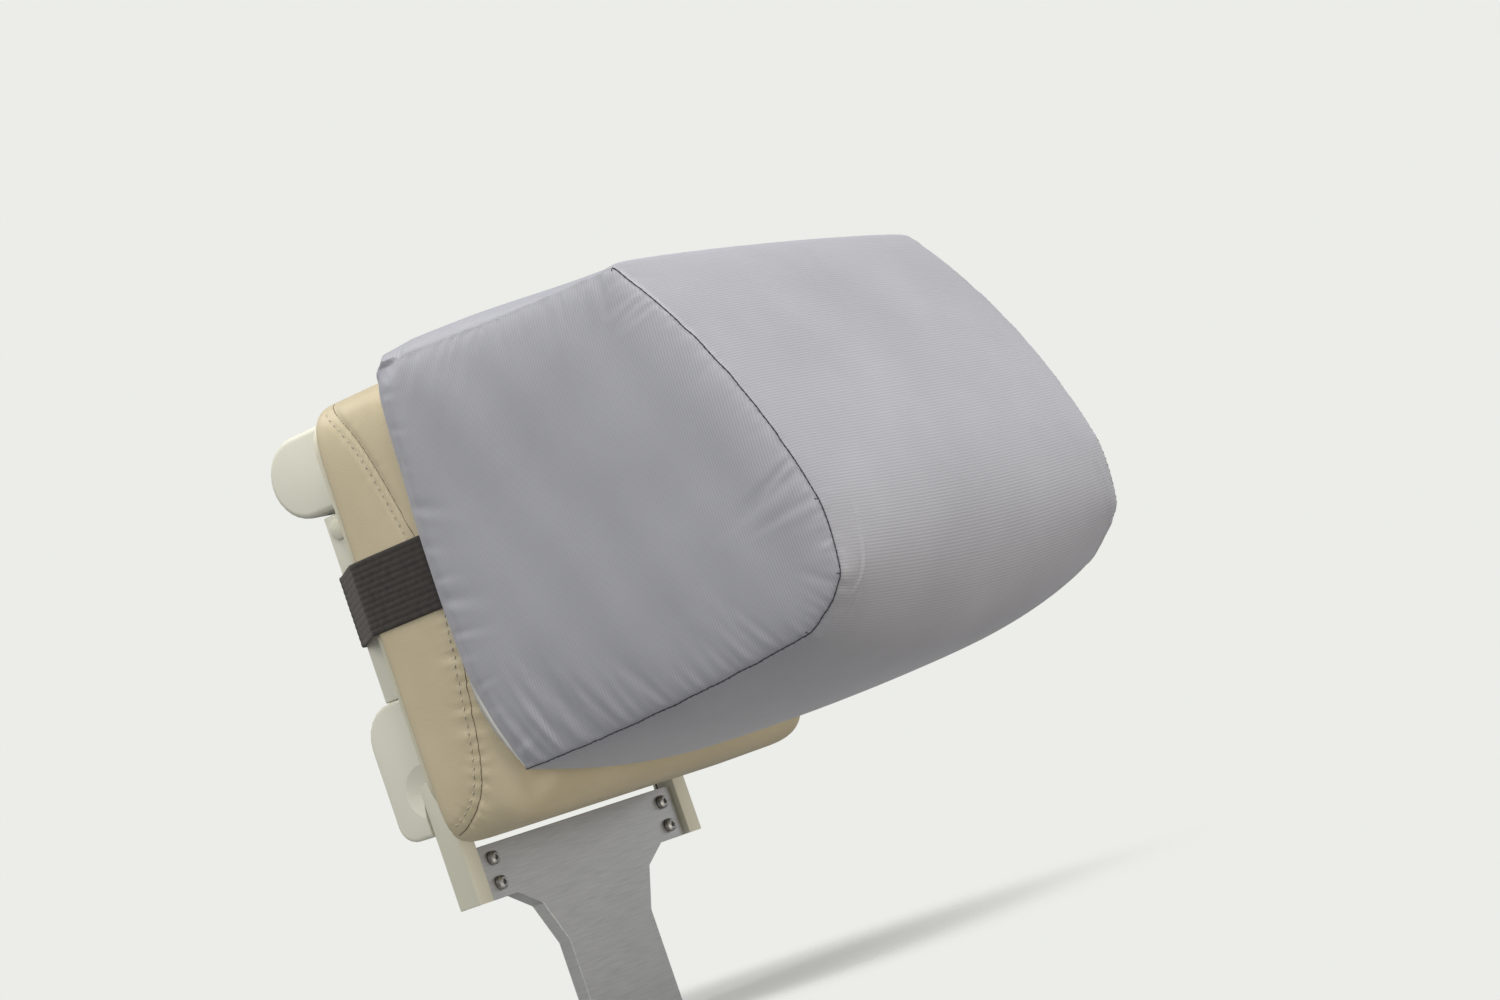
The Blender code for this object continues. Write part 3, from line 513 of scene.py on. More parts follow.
def cushion_panels():
    """The four panels as grids of points: wrap, back, left side and right side."""
    xs = across_stations()
    sections = {x: wrap_section(x) for x in {round(abs(x), 4) for x in xs}}
    wrap = np.zeros((2 * TOP_CELLS + FRONT_CELLS + 1, len(xs), 3))
    for j, x in enumerate(xs):
        wrap[:, j, 0] = x
        wrap[:, j, 1:] = sections[round(abs(x), 4)]
    wrap += seam_wander(wrap)
    seam = wrap[:, 0, 1:]
    back = np.zeros((FRONT_CELLS + 1, len(xs), 3))
    out = np.abs(xs)
    lip = np.clip((out - LIP_ROOT_X) / (SEAM_X - LIP_ROOT_X), 0, 1)
    lip_x = np.minimum(out, LIP_ROOT_X) + lip * (LIP_EDGE_X - LIP_ROOT_X)
    for i in range(FRONT_CELLS + 1):
        t = i / FRONT_CELLS
        back[i, :, 0] = np.sign(xs) * lip_x
        back[i, :, 2] = (1 - t) * wrap[0, :, 2] + t * wrap[-1, :, 2]
        bend = (lip_y(back[i, 0, 2]) - BACK_PLANE) * step(out, LIP_ROOT_X, LIP_ROOT_X + 1.6)
        back[i, :, 1] = BACK_PLANE + bend
    back[0, :, 1:], back[-1, :, 1:] = wrap[0, :, 1:], wrap[-1, :, 1:]
    top, front = seam[: TOP_CELLS + 1], seam[TOP_CELLS : TOP_CELLS + FRONT_CELLS + 1]
    bottom, rear = seam[TOP_CELLS + FRONT_CELLS :][::-1], back[:, 0, 1:]
    u = np.linspace(0, 1, TOP_CELLS + 1)[None, :, None]
    v = np.linspace(0, 1, FRONT_CELLS + 1)[:, None, None]
    flat = (1 - v) * top[None] + v * bottom[None] + (1 - u) * rear[:, None] + u * front[:, None]
    flat -= (1 - v) * ((1 - u) * top[0] + u * top[-1]) + v * ((1 - u) * bottom[0] + u * bottom[-1])
    sides = []
    for side in (-1, 1):
        grid = np.zeros((*flat.shape[:2], 3))
        grid[..., 0] = side * SEAM_X
        grid[..., 1:] = flat
        sides.append(grid)
    return [wrap, back, *sides]


def inflate(panels):
    """Cloth simulation of the coarse panels under pressure; returns each panel's displacement."""
    points, indices, faces = weld([grid[::COARSE, ::COARSE] for grid in panels])
    body = add_mesh("cushion_sim", points, faces, FABRIC)
    wrap, back = indices[:2]
    held = set(wrap[:, 0]) | set(wrap[:, -1]) | set(back.reshape(-1))
    group = body.vertex_groups.new(name="held")
    group.add([int(k) for k in held], 1.0, "REPLACE")
    cloth = body.modifiers.new("cloth", "CLOTH").settings
    cloth.quality = 5
    cloth.mass = 0.35
    cloth.tension_stiffness = cloth.compression_stiffness = 18
    cloth.shear_stiffness = 6
    cloth.bending_stiffness = 1.2
    cloth.use_pressure = True
    cloth.uniform_pressure_force = 4.0
    cloth.shrink_min = 0.0
    cloth.vertex_group_mass = "held"
    cloth.effector_weights.gravity = 0.0
    scene = bpy.context.scene
    for number in range(1, 21):
        scene.frame_set(number)
    evaluated = body.evaluated_get(bpy.context.evaluated_depsgraph_get())
    after = np.zeros(len(points) * 3)
    evaluated.data.vertices.foreach_get("co", after)
    moved = after.reshape(-1, 3) * 1000 - points
    bpy.data.objects.remove(body)
    scene.frame_set(1)
    swells = []
    for index, grid, cap in zip(indices, panels, (WRAP_SWELL, 1.0, SIDE_SWELL, SIDE_SWELL)):
        field = moved[index]
        size = np.linalg.norm(field, axis=-1, keepdims=True)
        field = field * cap * np.tanh(size / cap) / np.maximum(size, 1e-9)
        swells.append(upsample(field, grid.shape[:2]))
    return swells


def upsample(field, shape):
    """Spread a coarse field over a finer grid, smoothly."""
    rows, cols = np.linspace(0, 1, field.shape[0]), np.linspace(0, 1, field.shape[1])
    fine_rows, fine_cols = np.linspace(0, 1, shape[0]), np.linspace(0, 1, shape[1])
    tall = np.stack([[np.interp(fine_rows, rows, field[:, j, k]) for j in range(field.shape[1])]
                     for k in range(3)], -1).transpose(1, 0, 2)
    wide = np.stack([[np.interp(fine_cols, cols, tall[i, :, k]) for i in range(shape[0])]
                     for k in range(3)], -1)
    for _ in range(4):
        inner = wide[1:-1, 1:-1]
        wide[1:-1, 1:-1] = 0.5 * inner + 0.125 * (wide[:-2, 1:-1] + wide[2:, 1:-1]
                                                  + wide[1:-1, :-2] + wide[1:-1, 2:])
    return wide


def pucker_field(along, away, runs, seed):
    """Height of gathers beside a seam. Each run: from, to, spacing, reach, depth, slant."""
    dice = random.Random(seed)
    height = np.zeros(along.shape)
    for start, end, spacing, reach, depth, slant in runs:
        at = start + dice.uniform(0, spacing)
        while at < end:
            length = reach * dice.uniform(0.45, 1.25)
            width = dice.uniform(1.3, 2.6) * (0.7 + length / 40)
            size = 1.6 * depth * dice.uniform(0.35, 1.0)
            lean = slant + dice.uniform(-0.15, 0.15)
            across = (along - at - lean * away) / (width * (1 + away / (2.2 * length)))
            fade = np.exp(-((away / length) ** 2))
            height += size * fade * (0.55 * np.exp(-((across - 1.25) ** 2)) - np.exp(-(across**2)))
            at += spacing * dice.uniform(0.55, 1.5)
    return height


def broad_folds(y, z, seed):
    """Slow soft waves in the stretched cloth."""
    dice = random.Random(seed)
    height = np.zeros(y.shape)
    for _ in range(10):
        turn = dice.uniform(-0.5, 0.5)
        wave = dice.uniform(28, 70)
        phase = dice.uniform(0, 6.3)
        height += 0.10 * np.sin(2 * math.pi * (y * math.cos(turn) + z * math.sin(turn)) / wave + phase)
    return height


def side_relief(grid, seam, lengths):
    """How far a side panel stands out from the seam plane, and its puckers."""
    y, z = grid[..., 1], grid[..., 2]
    away, along = nearest_on(seam, y, z)
    to_back, down_back = nearest_on([tuple(p) for p in grid[:, 0, 1:]], y, z)
    groove = step(along, lengths[0] - 12.0, lengths[0] + 4.0)
    dome = groove * (1 - np.exp(-away / 1.1)) + (1 - groove) * (1 - np.exp(-away / 9.0))
    dome += 2.0 * (1 - np.exp(-away / 7.0))
    dome += 1.6 * (1 - np.exp(-away / 45))
    roll = 1.2 * np.clip(1 - to_back / 11.0, 0, 1)
    tuck = (SEAM_X - LIP_EDGE_X) * (1 - np.cos(roll)) / (1 - math.cos(1.2))
    dome = dome * step(to_back, -1, 12) - tuck
    top, front, nose, heel, end = lengths
    runs = (
        (14.0, 0.5 * top, 15.0, 30.0, 0.42, -0.6),
        (0.5 * top, top - 6.0, 12.0, 18.0, 0.40, 0.0),
        (top + 2.0, top + 34.0, 8.5, 17.0, 0.50, -0.25),
        (top + 40.0, front - 30.0, 16.0, 9.0, 0.22, -0.2),
        (front - 32.0, front + 3.0, 10.0, 30.0, 0.60, 0.05),
        (front + 6.0, nose - 3.0, 5.5, 10.0, 0.30, 0.0),
        (nose - 4.0, nose + 5.0, 4.0, 12.0, 0.55, 0.0),
        (nose + 8.0, heel - 2.0, 5.0, 9.0, 0.35, 0.0),
        (heel - 3.0, heel + 12.0, 5.0, 14.0, 0.55, 0.1),
        (heel + 14.0, end - 60.0, 7.0, 26.0, 0.60, 0.35),
        (end - 62.0, end - 4.0, 6.5, 32.0, 0.95, 0.35),
    )
    puckers = pucker_field(along, away, runs, 11) * (1 - np.exp(-away / 1.0))
    tiny = pucker_field(along, away, ((0.0, end, 2.6, 5.0, 0.20, 0.0),), 12)
    tiny *= 1 - np.exp(-away / 0.8)
    edge_runs = ((4.0, 240.0, 17.0, 20.0, 0.55, 0.15),)
    edge = pucker_field(down_back, to_back, edge_runs, 13) * step(to_back, 0, 6)
    return dome + puckers + tiny + edge + broad_folds(y, z, 14) * step(away, 4, 30)


def wrap_relief(grid, seam_run, lengths):
    """Height of the wrap over its smooth form: the roll beside each seam, gathers and ridges."""
    x = grid[..., 0]
    away = SEAM_X - np.abs(x)
    along = np.repeat(seam_run[:, None], x.shape[1], 1)
    top, front, nose, heel, end = lengths
    groove = step(along, top - 12.0, top + 4.0)
    puff = 1.1 * groove * (1 - np.exp(-away / 1.1)) + 1.7 * (1 - np.exp(-away / 6.5))
    puff *= step(along, 0, 12) * step(end - along, 0, 12)
    puff += SHOULDER * (1 - step(along, 40.0, top + 6.0)) * (1 - np.exp(-away / 4.5))
    puff -= 1.6 * np.exp(-(((along - 9.0) / 1.3) ** 2)) * np.exp(-(((away - 3.0) / 5.0) ** 2))
    runs = (
        (top + 2.0, top + 16.0, 7.0, 9.0, 0.25, 0.3),
        (front - 6.0, front + 4.0, 5.0, 8.0, 0.25, 0.0),
        (front + 8.0, nose - 4.0, 4.5, 5.0, 0.20, 0.0),
        (nose - 6.0, heel + 4.0, 2.9, 8.0, 0.42, 0.0),
        (heel + 4.0, end - 6.0, 9.0, 7.0, 0.20, 0.0),
    )
    gathers = pucker_field(along, away, runs, 21) * (1 - np.exp(-away / 0.8))
    tiny = pucker_field(along, away, ((top, end, 2.6, 4.0, 0.14, 0.0),), 22)
    tiny *= 1 - np.exp(-away / 0.8)
    ridge = allowance_edge(along, away, front + 2.0, nose + 13.0, 19.0)
    ridge += allowance_edge(along, away, nose + 6.0, heel + 3.0, 13.0)
    return puff + gathers + tiny + ridge


def allowance_edge(along, away, start, end, width):
    """The seam allowance's edge showing through the wrap, on an arc that runs back into the seam."""
    share = np.clip((along - start) / (end - start), 0, 1)
    middle = 1.5 + (width - 1.5) * np.sqrt(1 - share**2)
    edge = 0.42 * np.exp(-(((away - middle - 1.9) / 1.7) ** 2))
    edge -= 0.46 * np.exp(-((away - middle) ** 2))
    return edge * step(along, start, start + 9.0) * step(end - along, 0.0, 5.0)


def make_cushion():
    """The cushion; returns its panels, and where the corners and rows lie along the side seam."""
    panels = cushion_panels()
    seam = panels[0][:, 0, 1:]
    seam_run = run_along(seam)
    corner_runs = [seam_run[np.argmin(np.hypot(*(seam - np.array(corner)).T))]
                   for corner, _ in CORNERS[1:]]
    swells = inflate(panels)
    coarse_seam = [tuple(p) for p in seam[::2]]
    shaped = []
    for number, (grid, swell) in enumerate(zip(panels, swells)):
        if number == 0:
            height = wrap_relief(grid, seam_run, corner_runs)
            fade = step(SEAM_X - np.abs(grid[..., 0]), 0.0, 3.0)[..., None]
            normals = outward_normals(grid, CUSHION_MIDDLE)
            grid = grid + normals * height[..., None] + swell * fade
        elif number > 1:
            side = -1 if number == 2 else 1
            height = side_relief(grid, coarse_seam, corner_runs)
            grid = grid + swell
            grid[..., 0] += side * height
        shaped.append(grid)
    add_ears(shaped, seam_run)
    join_edges(shaped)
    points, indices, faces = weld(shaped, 0.005)
    cushion = add_mesh("cushion", points, faces, FABRIC)
    cushion.data.materials.append(BACKING)
    paint_cloth(cushion, points, indices, shaped, seam_run)
    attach(cushion, "headrest")
    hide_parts("cushion_cover", "cushion_foam", "cushion_back_panel")
    return shaped, corner_runs, seam_run


def add_ears(shaped, seam_run):
    """The wrap's folded corners, which stand out behind the top ends of the side seams."""
    wrap, back = shaped[:2]
    for grid, run in ((wrap, seam_run[:, None]), (back, back[:1, :, 2] - back[..., 2])):
        away = SEAM_X - np.abs(grid[..., 0])
        across = np.exp(-(((away - EAR_INSET) / EAR_REACH) ** 2))
        grid[..., 1] += EAR_DEPTH * across * np.exp(-((run / EAR_REACH) ** 2))


def join_edges(shaped):
    """Give the panels' shared edges one set of points again."""
    wrap, back, left, right = shaped
    for side, column in ((left, 0), (right, -1)):
        side[0] = wrap[: TOP_CELLS + 1, column]
        side[:, -1] = wrap[TOP_CELLS : TOP_CELLS + FRONT_CELLS + 1, column]
        side[-1] = wrap[TOP_CELLS + FRONT_CELLS :, column][::-1]
        back[:, column] = side[:, 0]
    back[0], back[-1] = wrap[0], wrap[-1]


def paint_cloth(cushion, points, indices, shaped, seam_run):
    """Store cloth coordinates for the ribs, and give the back panel its own cloth."""
    cloth = np.zeros((len(points), 3), np.float32)
    wrap_index, back_index, left_index, right_index = indices
    cloth[back_index] = shaped[1]
    cloth[wrap_index, 0] = np.repeat(seam_run[:, None], wrap_index.shape[1], 1)
    cloth[wrap_index, 1] = shaped[0][..., 0]
    for index, grid in ((left_index, shaped[2]), (right_index, shaped[3])):
        cloth[index[1:-1, :-1], 0] = grid[1:-1, :-1, 1]
        cloth[index[1:-1, :-1], 1] = grid[1:-1, :-1, 2]
    attribute = cushion.data.attributes.new("cloth", "FLOAT_VECTOR", "POINT")
    attribute.data.foreach_set("vector", cloth.ravel())
    inside = np.zeros(len(points), bool)
    inside[back_index[np.abs(shaped[1][..., 0]) < LIP_ROOT_X + 1.8]] = True
    for polygon in cushion.data.polygons:
        if all(inside[k] for k in polygon.vertices):
            polygon.material_index = 1


def make_seam_threads(shaped, corner_runs, seam_run):
    """A dark lock stitch sunk in the side seam from the top front corner down to the back."""
    dice = random.Random(31)
    wrap = shaped[0]
    for word, column, side in (("left", 0, -1), ("right", -1, 1)):
        line = resample(wrap[TOP_CELLS:, column], 1.2)
        lift = np.full(line.shape, side * 0.75)
        lift[:, 1:] = 0.65 * unit((line - CUSHION_MIDDLE)[:, 1:])
        wobble = np.array([[0.0, dice.uniform(-0.12, 0.12), dice.uniform(-0.12, 0.12)] for _ in line])
        core = line + 0.05 * lift + wobble
        stitches = []
        pitch = 3
        for k in range(0, len(line) - pitch, pitch):
            tilt = 0.35 * (1 if (k // pitch) % 2 else -1) + dice.uniform(-0.15, 0.15)
            middle = (line[k] + line[k + 2]) / 2
            raised = [line[k] + 0.1 * lift[k],
                      middle + 0.3 * lift[k + 1] + [side * 0.1, 0, 0.1 * tilt],
                      line[k + 2] + 0.1 * lift[k + 2]]
            stitches.append(resample(np.array(raised), 0.7))
        for run in corner_runs[:4]:
            corner = wrap[np.argmin(np.abs(seam_run - run)), column]
            inward = CUSHION_MIDDLE - corner
            inward[0] = 0.0
            inward = 2.6 * unit(inward)
            stitches.append(corner + np.array([[0, 0, 0], 0.5 * inward + [side * 0.9, 0, 0],
                                               inward + [side * 0.7, 0, 0]]))
        piece = tube(f"cushion_seam_thread_{word}", [core] + stitches, 0.30, SEAM_THREAD, 5)
        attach(piece, "headrest")


def make_back_edge():
    """The white backing's raw edge, which shows below the strap where the side panel curls off it."""
    zs = np.linspace(*RAW_EDGE, 60)
    ys = lip_y(zs)
    swing = np.sin(np.linspace(0, math.pi, 60))
    outer = np.stack([np.full(60, LIP_EDGE_X - 0.2), ys - 1.0, zs], 1)
    tip = np.stack([LIP_EDGE_X + 0.2 + 1.0 * swing, ys + 0.3 + 3.8 * swing, zs], 1)
    inner = np.stack([np.full(60, LIP_EDGE_X - 1.6), ys - 1.0, zs], 1)
    points = np.stack([outer, tip, inner], 1).reshape(-1, 3)
    faces = ring_faces(60, 3) + [(0, 1, 2), (177, 178, 179)]
    for word, side in (("left", -1), ("right", 1)):
        placed = points * [side, 1, 1]
        piece = add_mesh(f"cushion_back_edge_{word}", placed, faces, BACKING)
        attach(piece, "headrest")


# Pad


def pad_loop(inset, y, count):
    """A rounded oblong in the x-z plane, squarer below, as count evenly spaced points."""
    half_width, half_height = PAD_HIGH.x - inset, (PAD_HIGH.z - PAD_LOW.z) / 2 - inset
    middle = (PAD_HIGH.z + PAD_LOW.z) / 2
    t = np.linspace(0, 2 * math.pi, 2881)
    squareness = np.where(np.sin(t) < 0, 0.11, 0.17)
    x = half_width * np.sign(np.cos(t)) * np.abs(np.cos(t)) ** squareness
    z = middle + half_height * np.sign(np.sin(t)) * np.abs(np.sin(t)) ** squareness
    line = np.stack([x, np.full_like(x, y), z], 1)
    length = run_along(line)
    at = np.linspace(0, length[-1], count + 1)[:-1]
    return np.stack([np.interp(at, length, line[:, k]) for k in range(3)], 1)


def pad_stations():
    """Inset and y from the middle of the front face to the back rim."""
    front, back = PAD_LOW.y, PAD_HIGH.y
    rows = [(inset, front + 0.6 * (inset < 40)) for inset in (118.0, 96.0, 76.0, 58.0, 44.0, 34.0)]
    for turn in np.radians(np.linspace(90, 0, 16)):
        rows.append((26.0 * (1 - math.cos(turn)), front + 1.0 + 27.0 * (1 - math.sin(turn))))
    rows += [(0.0, y) for y in np.arange(front + 29.5, back - 5.0, 1.5)]
    for turn in np.radians(np.linspace(0, 90, 7)[1:]):
        rows.append((3.0 * (1 - math.cos(turn)), back - 4.0 + 4.0 * math.sin(turn)))
    return rows + [(5.0, back), (9.0, back - 0.2)]


def make_pad():
    """The leatherette pad: a groove and a sunk stitch row along each side seam, and wrinkles."""
    count = 560
    rows = pad_stations()
    grid = np.stack([pad_loop(inset, y, count) for inset, y in rows])
    seam = smooth_line(PAD_SEAM, 2.0)
    wall = step(np.abs(grid[..., 0]), 128.0, 136.0)
    y, z = grid[..., 1], grid[..., 2]
    away, along = nearest_on([tuple(p) for p in seam], y, z)
    total = run_along(seam)[-1]
    spread = (grid - [0.0, 0.0, (PAD_HIGH.z + PAD_LOW.z) / 2]) * [1, 0, 1]
    sideways = np.sign(grid[..., :1]) * np.array([1.0, 0.0, 0.0])
    normal = np.where(wall[..., None] > 0.5, sideways, unit(spread))
    groove = -1.1 * np.exp(-((away / 1.5) ** 2)) + 0.5 * (1 - np.exp(-away / 9.0))
    stitch_row = -0.75 * np.exp(-(((away - STITCH_GAP) / 0.9) ** 2)) * behind_seam(seam, y, z)
    runs = ((total * 0.48, total - 10, 6.0, 8.0, 0.95, 0.0),
            (10.0, total * 0.5, 20.0, 8.0, 0.25, 0.0))
    wrinkles = pucker_field(along, away, runs, 41) * (1 - np.exp(-away / 1.2))
    height = (groove + stitch_row + wrinkles) * wall
    share = np.clip((z - PAD_LOW.z) / (PAD_HIGH.z - PAD_LOW.z), 0, 1)
    height += 0.9 * np.sin(share * math.pi) * wall
    height += 0.25 * broad_folds(y * 1.5, z, 42) * wall
    grid = grid + normal * height[..., None]
    points = np.vstack([grid.reshape(-1, 3), grid[0].mean(0)])
    faces = ring_faces(len(rows), count)
    hub = len(points) - 1
    faces += [(k, (k + 1) % count, hub) for k in range(count)]
    last = (len(rows) - 1) * count
    faces.append(tuple(range(last, last + count)))
    pad = add_mesh("headrest_pad", points, faces, LEATHER)
    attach(pad, "headrest")
    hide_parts("pad_cover", "pad_foam")
    make_pad_stitching(seam, BVHTree.FromPolygons((points * 0.001).tolist(), faces))


def behind_seam(seam, y, z):
    """1 on the back side of the pad's seam and 0 on its front side."""
    order = np.argsort(seam[:, 1])
    edge = np.interp(z, seam[order, 1], seam[order, 0])
    return (y > edge).astype(float)


def seam_offset(seam, distance):
    """The pad's seam moved backward by a distance."""
    along = unit(np.gradient(seam, axis=0))
    across = np.stack([-along[:, 1], along[:, 0]], 1)
    across *= np.sign(across[len(across) // 2, 0])
    return seam + across * distance


def dropped(line, side, surface):
    """The points of a (y, z) line dropped sideways onto a surface, where it has any there."""
    found = []
    for y, z in line:
        start = Vector((side * 0.3, y * 0.001, z * 0.001))
        hit = surface.ray_cast(start, Vector((-side, 0, 0)))[0]
        if hit and abs(hit.x) > 0.12:
            found.append([1000 * hit.x, y, z])
    return np.array(found)


def make_pad_stitching(seam, surface):
    """The side seam's dark line, which is painted shadow in the seam's groove, and a row of stitches
    on the panel behind it.
    """
    dice = random.Random(51)
    fine = resample(seam, 0.9)
    row = resample(seam_offset(fine, STITCH_GAP), 0.9)
    for word, side in (("left", -1), ("right", 1)):
        # A dark tube along the seam: painted shadow in the groove.
        shadow = dropped(fine, side, surface)
        shadow[:, 0] += side * 0.02
        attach(tube(f"pad_seam_{word}", [shadow], 0.26, PAINTED_SEAM_SHADOW, 6), "headrest")
        line = dropped(row, side, surface)
        stitches = []
        for k in range(2, len(line) - 5, 5):
            lift = side * (0.38 + dice.uniform(-0.05, 0.05))
            stitch = line[k : k + 4].copy()
            stitch[:, 0] += [side * -0.4, lift, lift, side * -0.4]
            stitches.append(stitch)
        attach(tube(f"pad_topstitch_{word}", stitches, 0.34, PAD_THREAD, 5), "headrest")


# Strap


def make_strap():
    """A ribbed elastic band: fine ribs run along it, and its edge rows are thinner."""
    right = smooth_line(STRAP_PATH, 1.6)
    path = np.vstack([right, right[::-1] * np.array([-1, 1])])
    keep = np.concatenate([[True], np.linalg.norm(np.diff(path, axis=0), axis=1) > 0.2])
    path = resample(path[keep], 1.7)
    along = unit(np.gradient(path, axis=0))
    across = np.stack([along[:, 1], -along[:, 0]], 1)
    heights = np.linspace(STRAP_LOW, STRAP_HIGH, STRAP_RIBS * 6 + 1)
    share = (heights - STRAP_LOW) / (STRAP_HIGH - STRAP_LOW)
    rib = 0.24 * np.abs(np.sin(math.pi * share * STRAP_RIBS)) ** 0.8
    half = 0.50 + rib
    half[0] = half[-1] = 0.30
    outer = np.zeros((len(path), len(heights), 3))
    inner = np.zeros_like(outer)
    for grid, way in ((outer, 1), (inner, -1)):
        grid[..., :2] = path[:, None] + way * across[:, None] * half[None, :, None]
        grid[..., 2] = heights[None]
    section = np.concatenate([outer, inner[:, ::-1]], 1)
    rows, cols = section.shape[:2]
    points = section.reshape(-1, 3)
    faces = ring_faces(rows, cols)
    faces += [tuple(range(cols)), tuple(range((rows - 1) * cols, rows * cols))]
    strap = add_mesh("elastic_band", points, faces, ELASTIC)
    cloth = np.zeros((len(points), 3), np.float32)
    cloth[:, 0] = np.repeat(run_along(path), cols)
    cloth[:, 1] = points[:, 2]
    attribute = strap.data.attributes.new("cloth", "FLOAT_VECTOR", "POINT")
    attribute.data.foreach_set("vector", cloth.ravel())
    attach(strap, "headrest")
    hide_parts("elastic_strap")


# Return spring


def make_spring():
    """The rod's return spring."""
    low, high = [1000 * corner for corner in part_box("return_spring")]
    wire, coils, travel = 0.55, 6, 3.0
    radius = (high.x - low.x) / 2 - wire
    middle_y = (high.y + low.y) / 2
    turn = np.linspace(0, 2 * math.pi * coils, 24 * coils + 1)
    heights = np.linspace(low.z + wire, high.z - wire, len(turn))
    coil = np.stack([radius * np.cos(turn), middle_y + radius * np.sin(turn), heights], 1)
    spring = tube("spring_coil", [coil], wire, STEEL, 8, (0.0, 0.0, 1.0))
    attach(spring, "headrest")
    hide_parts("return_spring")
    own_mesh(spring)


# CAD nodes


def soften_edges(node):
    """Shade round surfaces smoothly and break every hard edge by a hair, without moving the mesh."""
    normals = node.data.attributes.get("custom_normal")
    if normals:
        node.data.attributes.remove(normals)
    node.data.shade_smooth()
    weld_points = node.modifiers.new("weld", "WELD")
    weld_points.merge_threshold = 0.00002
    bevel = node.modifiers.new("bevel", "BEVEL")
    bevel.width = 0.0003
    bevel.segments = 2
    bevel.limit_method = "ANGLE"
    bevel.angle_limit = math.radians(32)
    bevel.harden_normals = True


def mark_dish(node):
    """Keep a crisp rim on the shallow dish in each side of a housing."""
    side_x = 1000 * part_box(node.name)[1].x
    for edge in node.data.edges:
        ends = [1000 * (node.matrix_world @ node.data.vertices[k].co) for k in edge.vertices]
        if all(abs(abs(end.x) - side_x) < 0.1 for end in ends):
            gaps = [abs(math.dist(end.yz, DISH_CENTRE) - DISH_RIM) for end in ends]
            edge.use_edge_sharp = max(gaps) < 0.3


def finish_cad_nodes():
    """Give each CAD node its material and softened edges."""
    looks = {
        IVORY: ("lower_housing_front", "lower_housing_rear", "spine_cover", "handle_shell"),
        PAINT: ("carrier_frame", "mounting_plate", "spring_seat", "stem_arm_left", "stem_arm_right",
                "handle_insert", "handle_pin_left", "handle_pin_right"),
        BOARD: ("pad_back_board",),
        BLACK_PLASTIC: ("rod_guide",),
        LINING: ("brake_shoe",),
        FOAM: ("pad_foam", "cushion_foam"),
        STEEL: ("hinge_shaft", "brake_drum", "shaft_collar_left", "shaft_collar_right",
                "release_rod", "return_spring"),
        BAR: ("glide_bar",),
        SCREW: tuple(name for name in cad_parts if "_screw_" in name),
        BRONZE: ("hinge_bush_left", "hinge_bush_right"),
    }
    for material, names in looks.items():
        for name in names:
            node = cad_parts[name]
            node.data.materials.clear()
            node.data.materials.append(material)
            soften_edges(node)
            if name.startswith("lower_housing"):
                mark_dish(node)


# Light, floor and camera

BACKDROP = (0.838, 0.846, 0.807)
# The floor's strength, and the distances in metres over which it fades away
FLOOR_OPACITY, FLOOR_SOLID_TO, FLOOR_GONE_AT = 0.65, 0.05, 0.38
# The sky's glow from below and from above
GLOW_BELOW, GLOW_ABOVE = 0.20, 0.50
MIDDLE = (0.0, -0.16, 0.26)


def set_range(node, source, target):
    """The span of values that a Map Range node reads, and the span it gives."""
    for word, span in (("From", source), ("To", target)):
        for end, value in zip(("Min", "Max"), span):
            node.inputs[f"{word} {end}"].default_value = value


def make_floor():
    """A pale disc under the stem that fades into the backdrop's colour."""
    n = Nodes("pale_floor")
    tone = n.ramp(n.noise(3.0, 3.0), ((0.3, (0.60, 0.605, 0.580)), (0.7, (0.62, 0.625, 0.600))))
    n.link(tone, n.shader.inputs["Base Color"])
    n.set(Roughness=0.9, Specular_IOR_Level=0.05)
    spread = n.add("ShaderNodeVectorMath", operation="LENGTH")
    n.link(n.place(), spread.inputs[0])
    fade = n.add("ShaderNodeMapRange", interpolation_type="SMOOTHERSTEP")
    set_range(fade, (FLOOR_SOLID_TO, FLOOR_GONE_AT), (FLOOR_OPACITY, 0.0))
    n.link(spread.outputs["Value"], fade.inputs["Value"])
    n.link(fade.outputs["Result"], n.shader.inputs["Alpha"])
    rings, sides, radius, height = 12, 96, 1100.0, -0.5
    points = [(0.0, 0.0, height)]
    for ring in range(1, rings + 1):
        for side in range(sides):
            t, r = 2 * math.pi * side / sides, radius * ring / rings
            points.append((r * math.cos(t), r * math.sin(t), height))
    faces = [(0, 1 + side, 1 + (side + 1) % sides) for side in range(sides)]
    faces += ring_faces(rings, sides, 1)
    floor = add_mesh("floor", points, faces, n.material)


def add_light(name, place, size, power, colour):
    """A round soft light aimed at the middle of the object."""
    data = bpy.data.lights.new(name, "AREA")
    data.shape = "DISK"
    data.size = size
    data.energy = power
    data.color = colour
    light = bpy.data.objects.new(name, data)
    bpy.context.scene.collection.objects.link(light)
    light.location = place
    light.rotation_mode = "QUATERNION"
    light.rotation_quaternion = (Vector(MIDDLE) - Vector(place)).to_track_quat("-Z", "Y")


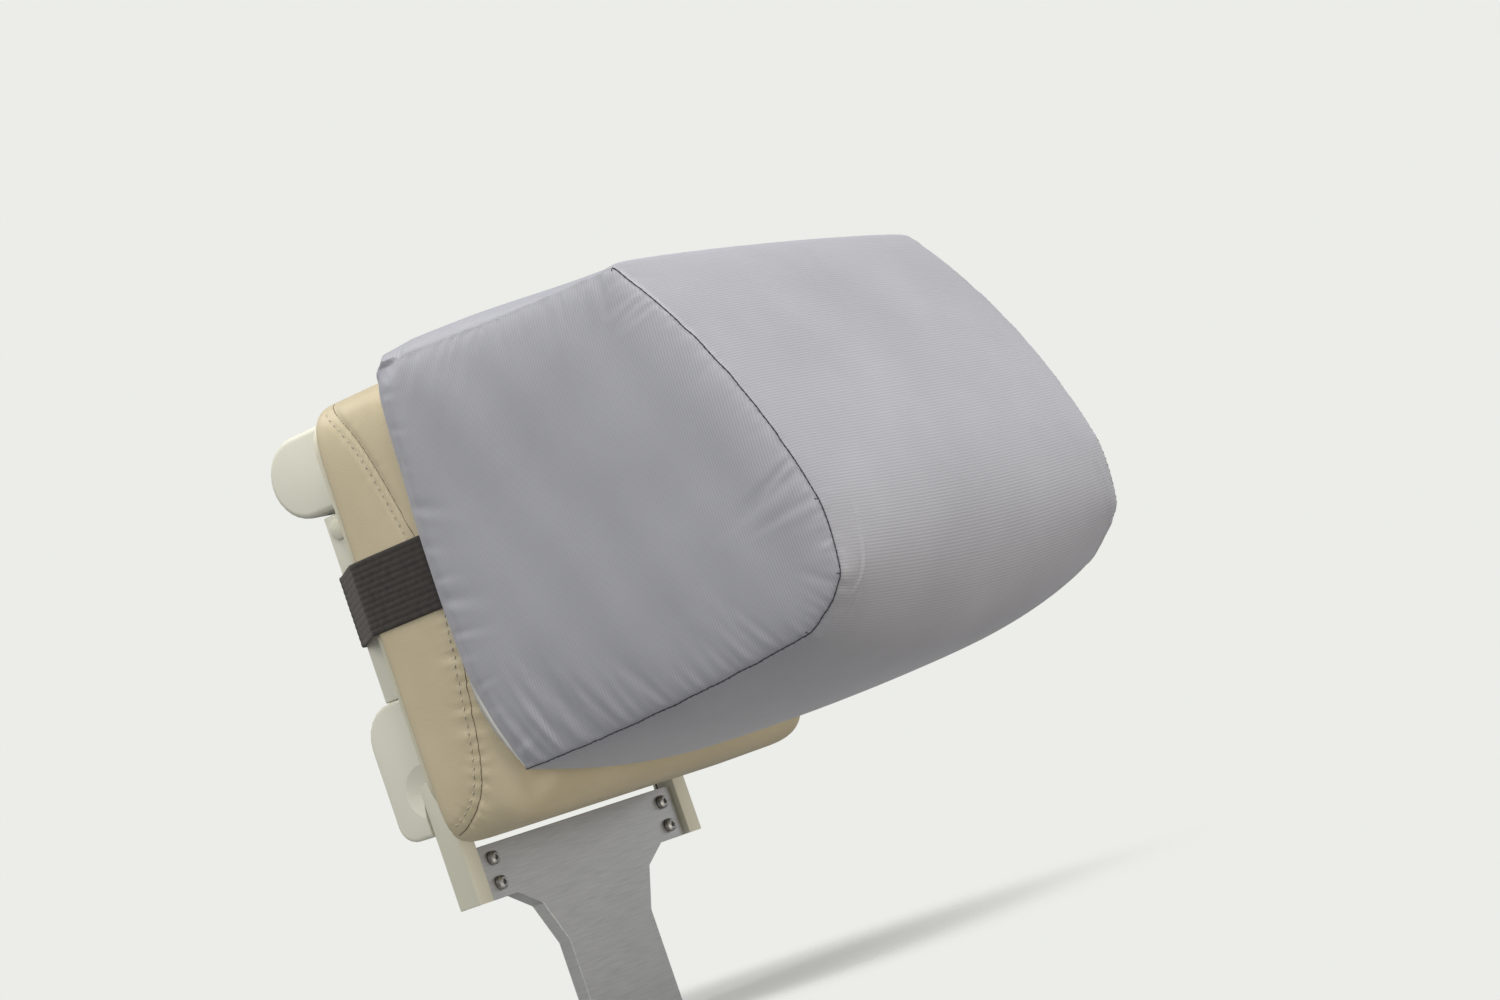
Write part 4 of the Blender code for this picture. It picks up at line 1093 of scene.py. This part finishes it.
def make_light():
    """A sky that is brighter above, a plain backdrop for the camera, and five soft lights."""
    world = bpy.data.worlds.new("studio")
    world.use_nodes = True
    tree = world.node_tree
    glow = tree.nodes["Background"]
    glow.inputs["Color"].default_value = (0.97, 0.98, 1.0, 1.0)
    place = tree.nodes.new("ShaderNodeTexCoord")
    split = tree.nodes.new("ShaderNodeSeparateXYZ")
    tree.links.new(place.outputs["Generated"], split.inputs["Vector"])
    fade = tree.nodes.new("ShaderNodeMapRange")
    set_range(fade, (-0.5, 0.3), (GLOW_BELOW, GLOW_ABOVE))
    tree.links.new(split.outputs["Z"], fade.inputs["Value"])
    tree.links.new(fade.outputs["Result"], glow.inputs["Strength"])
    backdrop = tree.nodes.new("ShaderNodeBackground")
    backdrop.inputs["Color"].default_value = (*BACKDROP, 1.0)
    seen = tree.nodes.new("ShaderNodeLightPath")
    mix = tree.nodes.new("ShaderNodeMixShader")
    tree.links.new(seen.outputs["Is Camera Ray"], mix.inputs["Fac"])
    tree.links.new(glow.outputs["Background"], mix.inputs[1])
    tree.links.new(backdrop.outputs["Background"], mix.inputs[2])
    tree.links.new(mix.outputs["Shader"], tree.nodes["World Output"].inputs["Surface"])
    bpy.context.scene.world = world
    bpy.context.scene.view_settings.view_transform = "Standard"
    add_light("key", (-0.75, -1.05, 2.15), 1.3, 38.0, (1.0, 0.985, 0.96))
    add_light("fill", (-2.0, -0.5, 0.9), 1.2, 12.0, (1.0, 0.985, 0.95))
    add_light("top", (-0.5, 0.8, 2.0), 1.2, 10.0, (1.0, 0.99, 0.97))
    add_light("bounce", (0.2, -1.5, -0.35), 1.3, 10.0, (1.0, 0.92, 0.80))
    add_light("right", (1.9, -1.1, 0.9), 1.4, 3.5, (0.97, 0.98, 1.0))


def make_camera():
    """The camera, leaning to its left as it looks at the headrest from the front left."""
    turn, lift, lean = math.radians(57.107), math.radians(-4.808), math.radians(19.229)
    distance, shift_across, shift_up = 1.9189, 0.0362, 0.1217
    target = Vector((0.0, -0.096, 0.150))
    right = Vector((math.cos(turn), -math.sin(turn), 0.0))
    back = Vector((-math.cos(lift) * math.sin(turn), -math.cos(lift) * math.cos(turn), math.sin(lift)))
    up = back.cross(right)
    across = right * math.cos(lean) - up * math.sin(lean)
    upright = right * math.sin(lean) + up * math.cos(lean)
    place = target + distance * back + shift_across * across + shift_up * upright
    data = bpy.data.cameras.new("camera")
    data.lens = 84.0
    data.sensor_width = 36.0
    data.clip_start = 0.05
    data.clip_end = 50.0
    camera = bpy.data.objects.new("camera", data)
    bpy.context.scene.collection.objects.link(camera)
    aim = Matrix((across, upright, back)).transposed()
    camera.matrix_world = Matrix.Translation(place) @ aim.to_4x4()
    bpy.context.scene.camera = camera


make_camera()
make_light()
make_floor()
finish_cad_nodes()
shaped_panels, corner_lengths, seam_lengths = make_cushion()
make_seam_threads(shaped_panels, corner_lengths, seam_lengths)
make_back_edge()
make_pad()
make_strap()
make_spring()
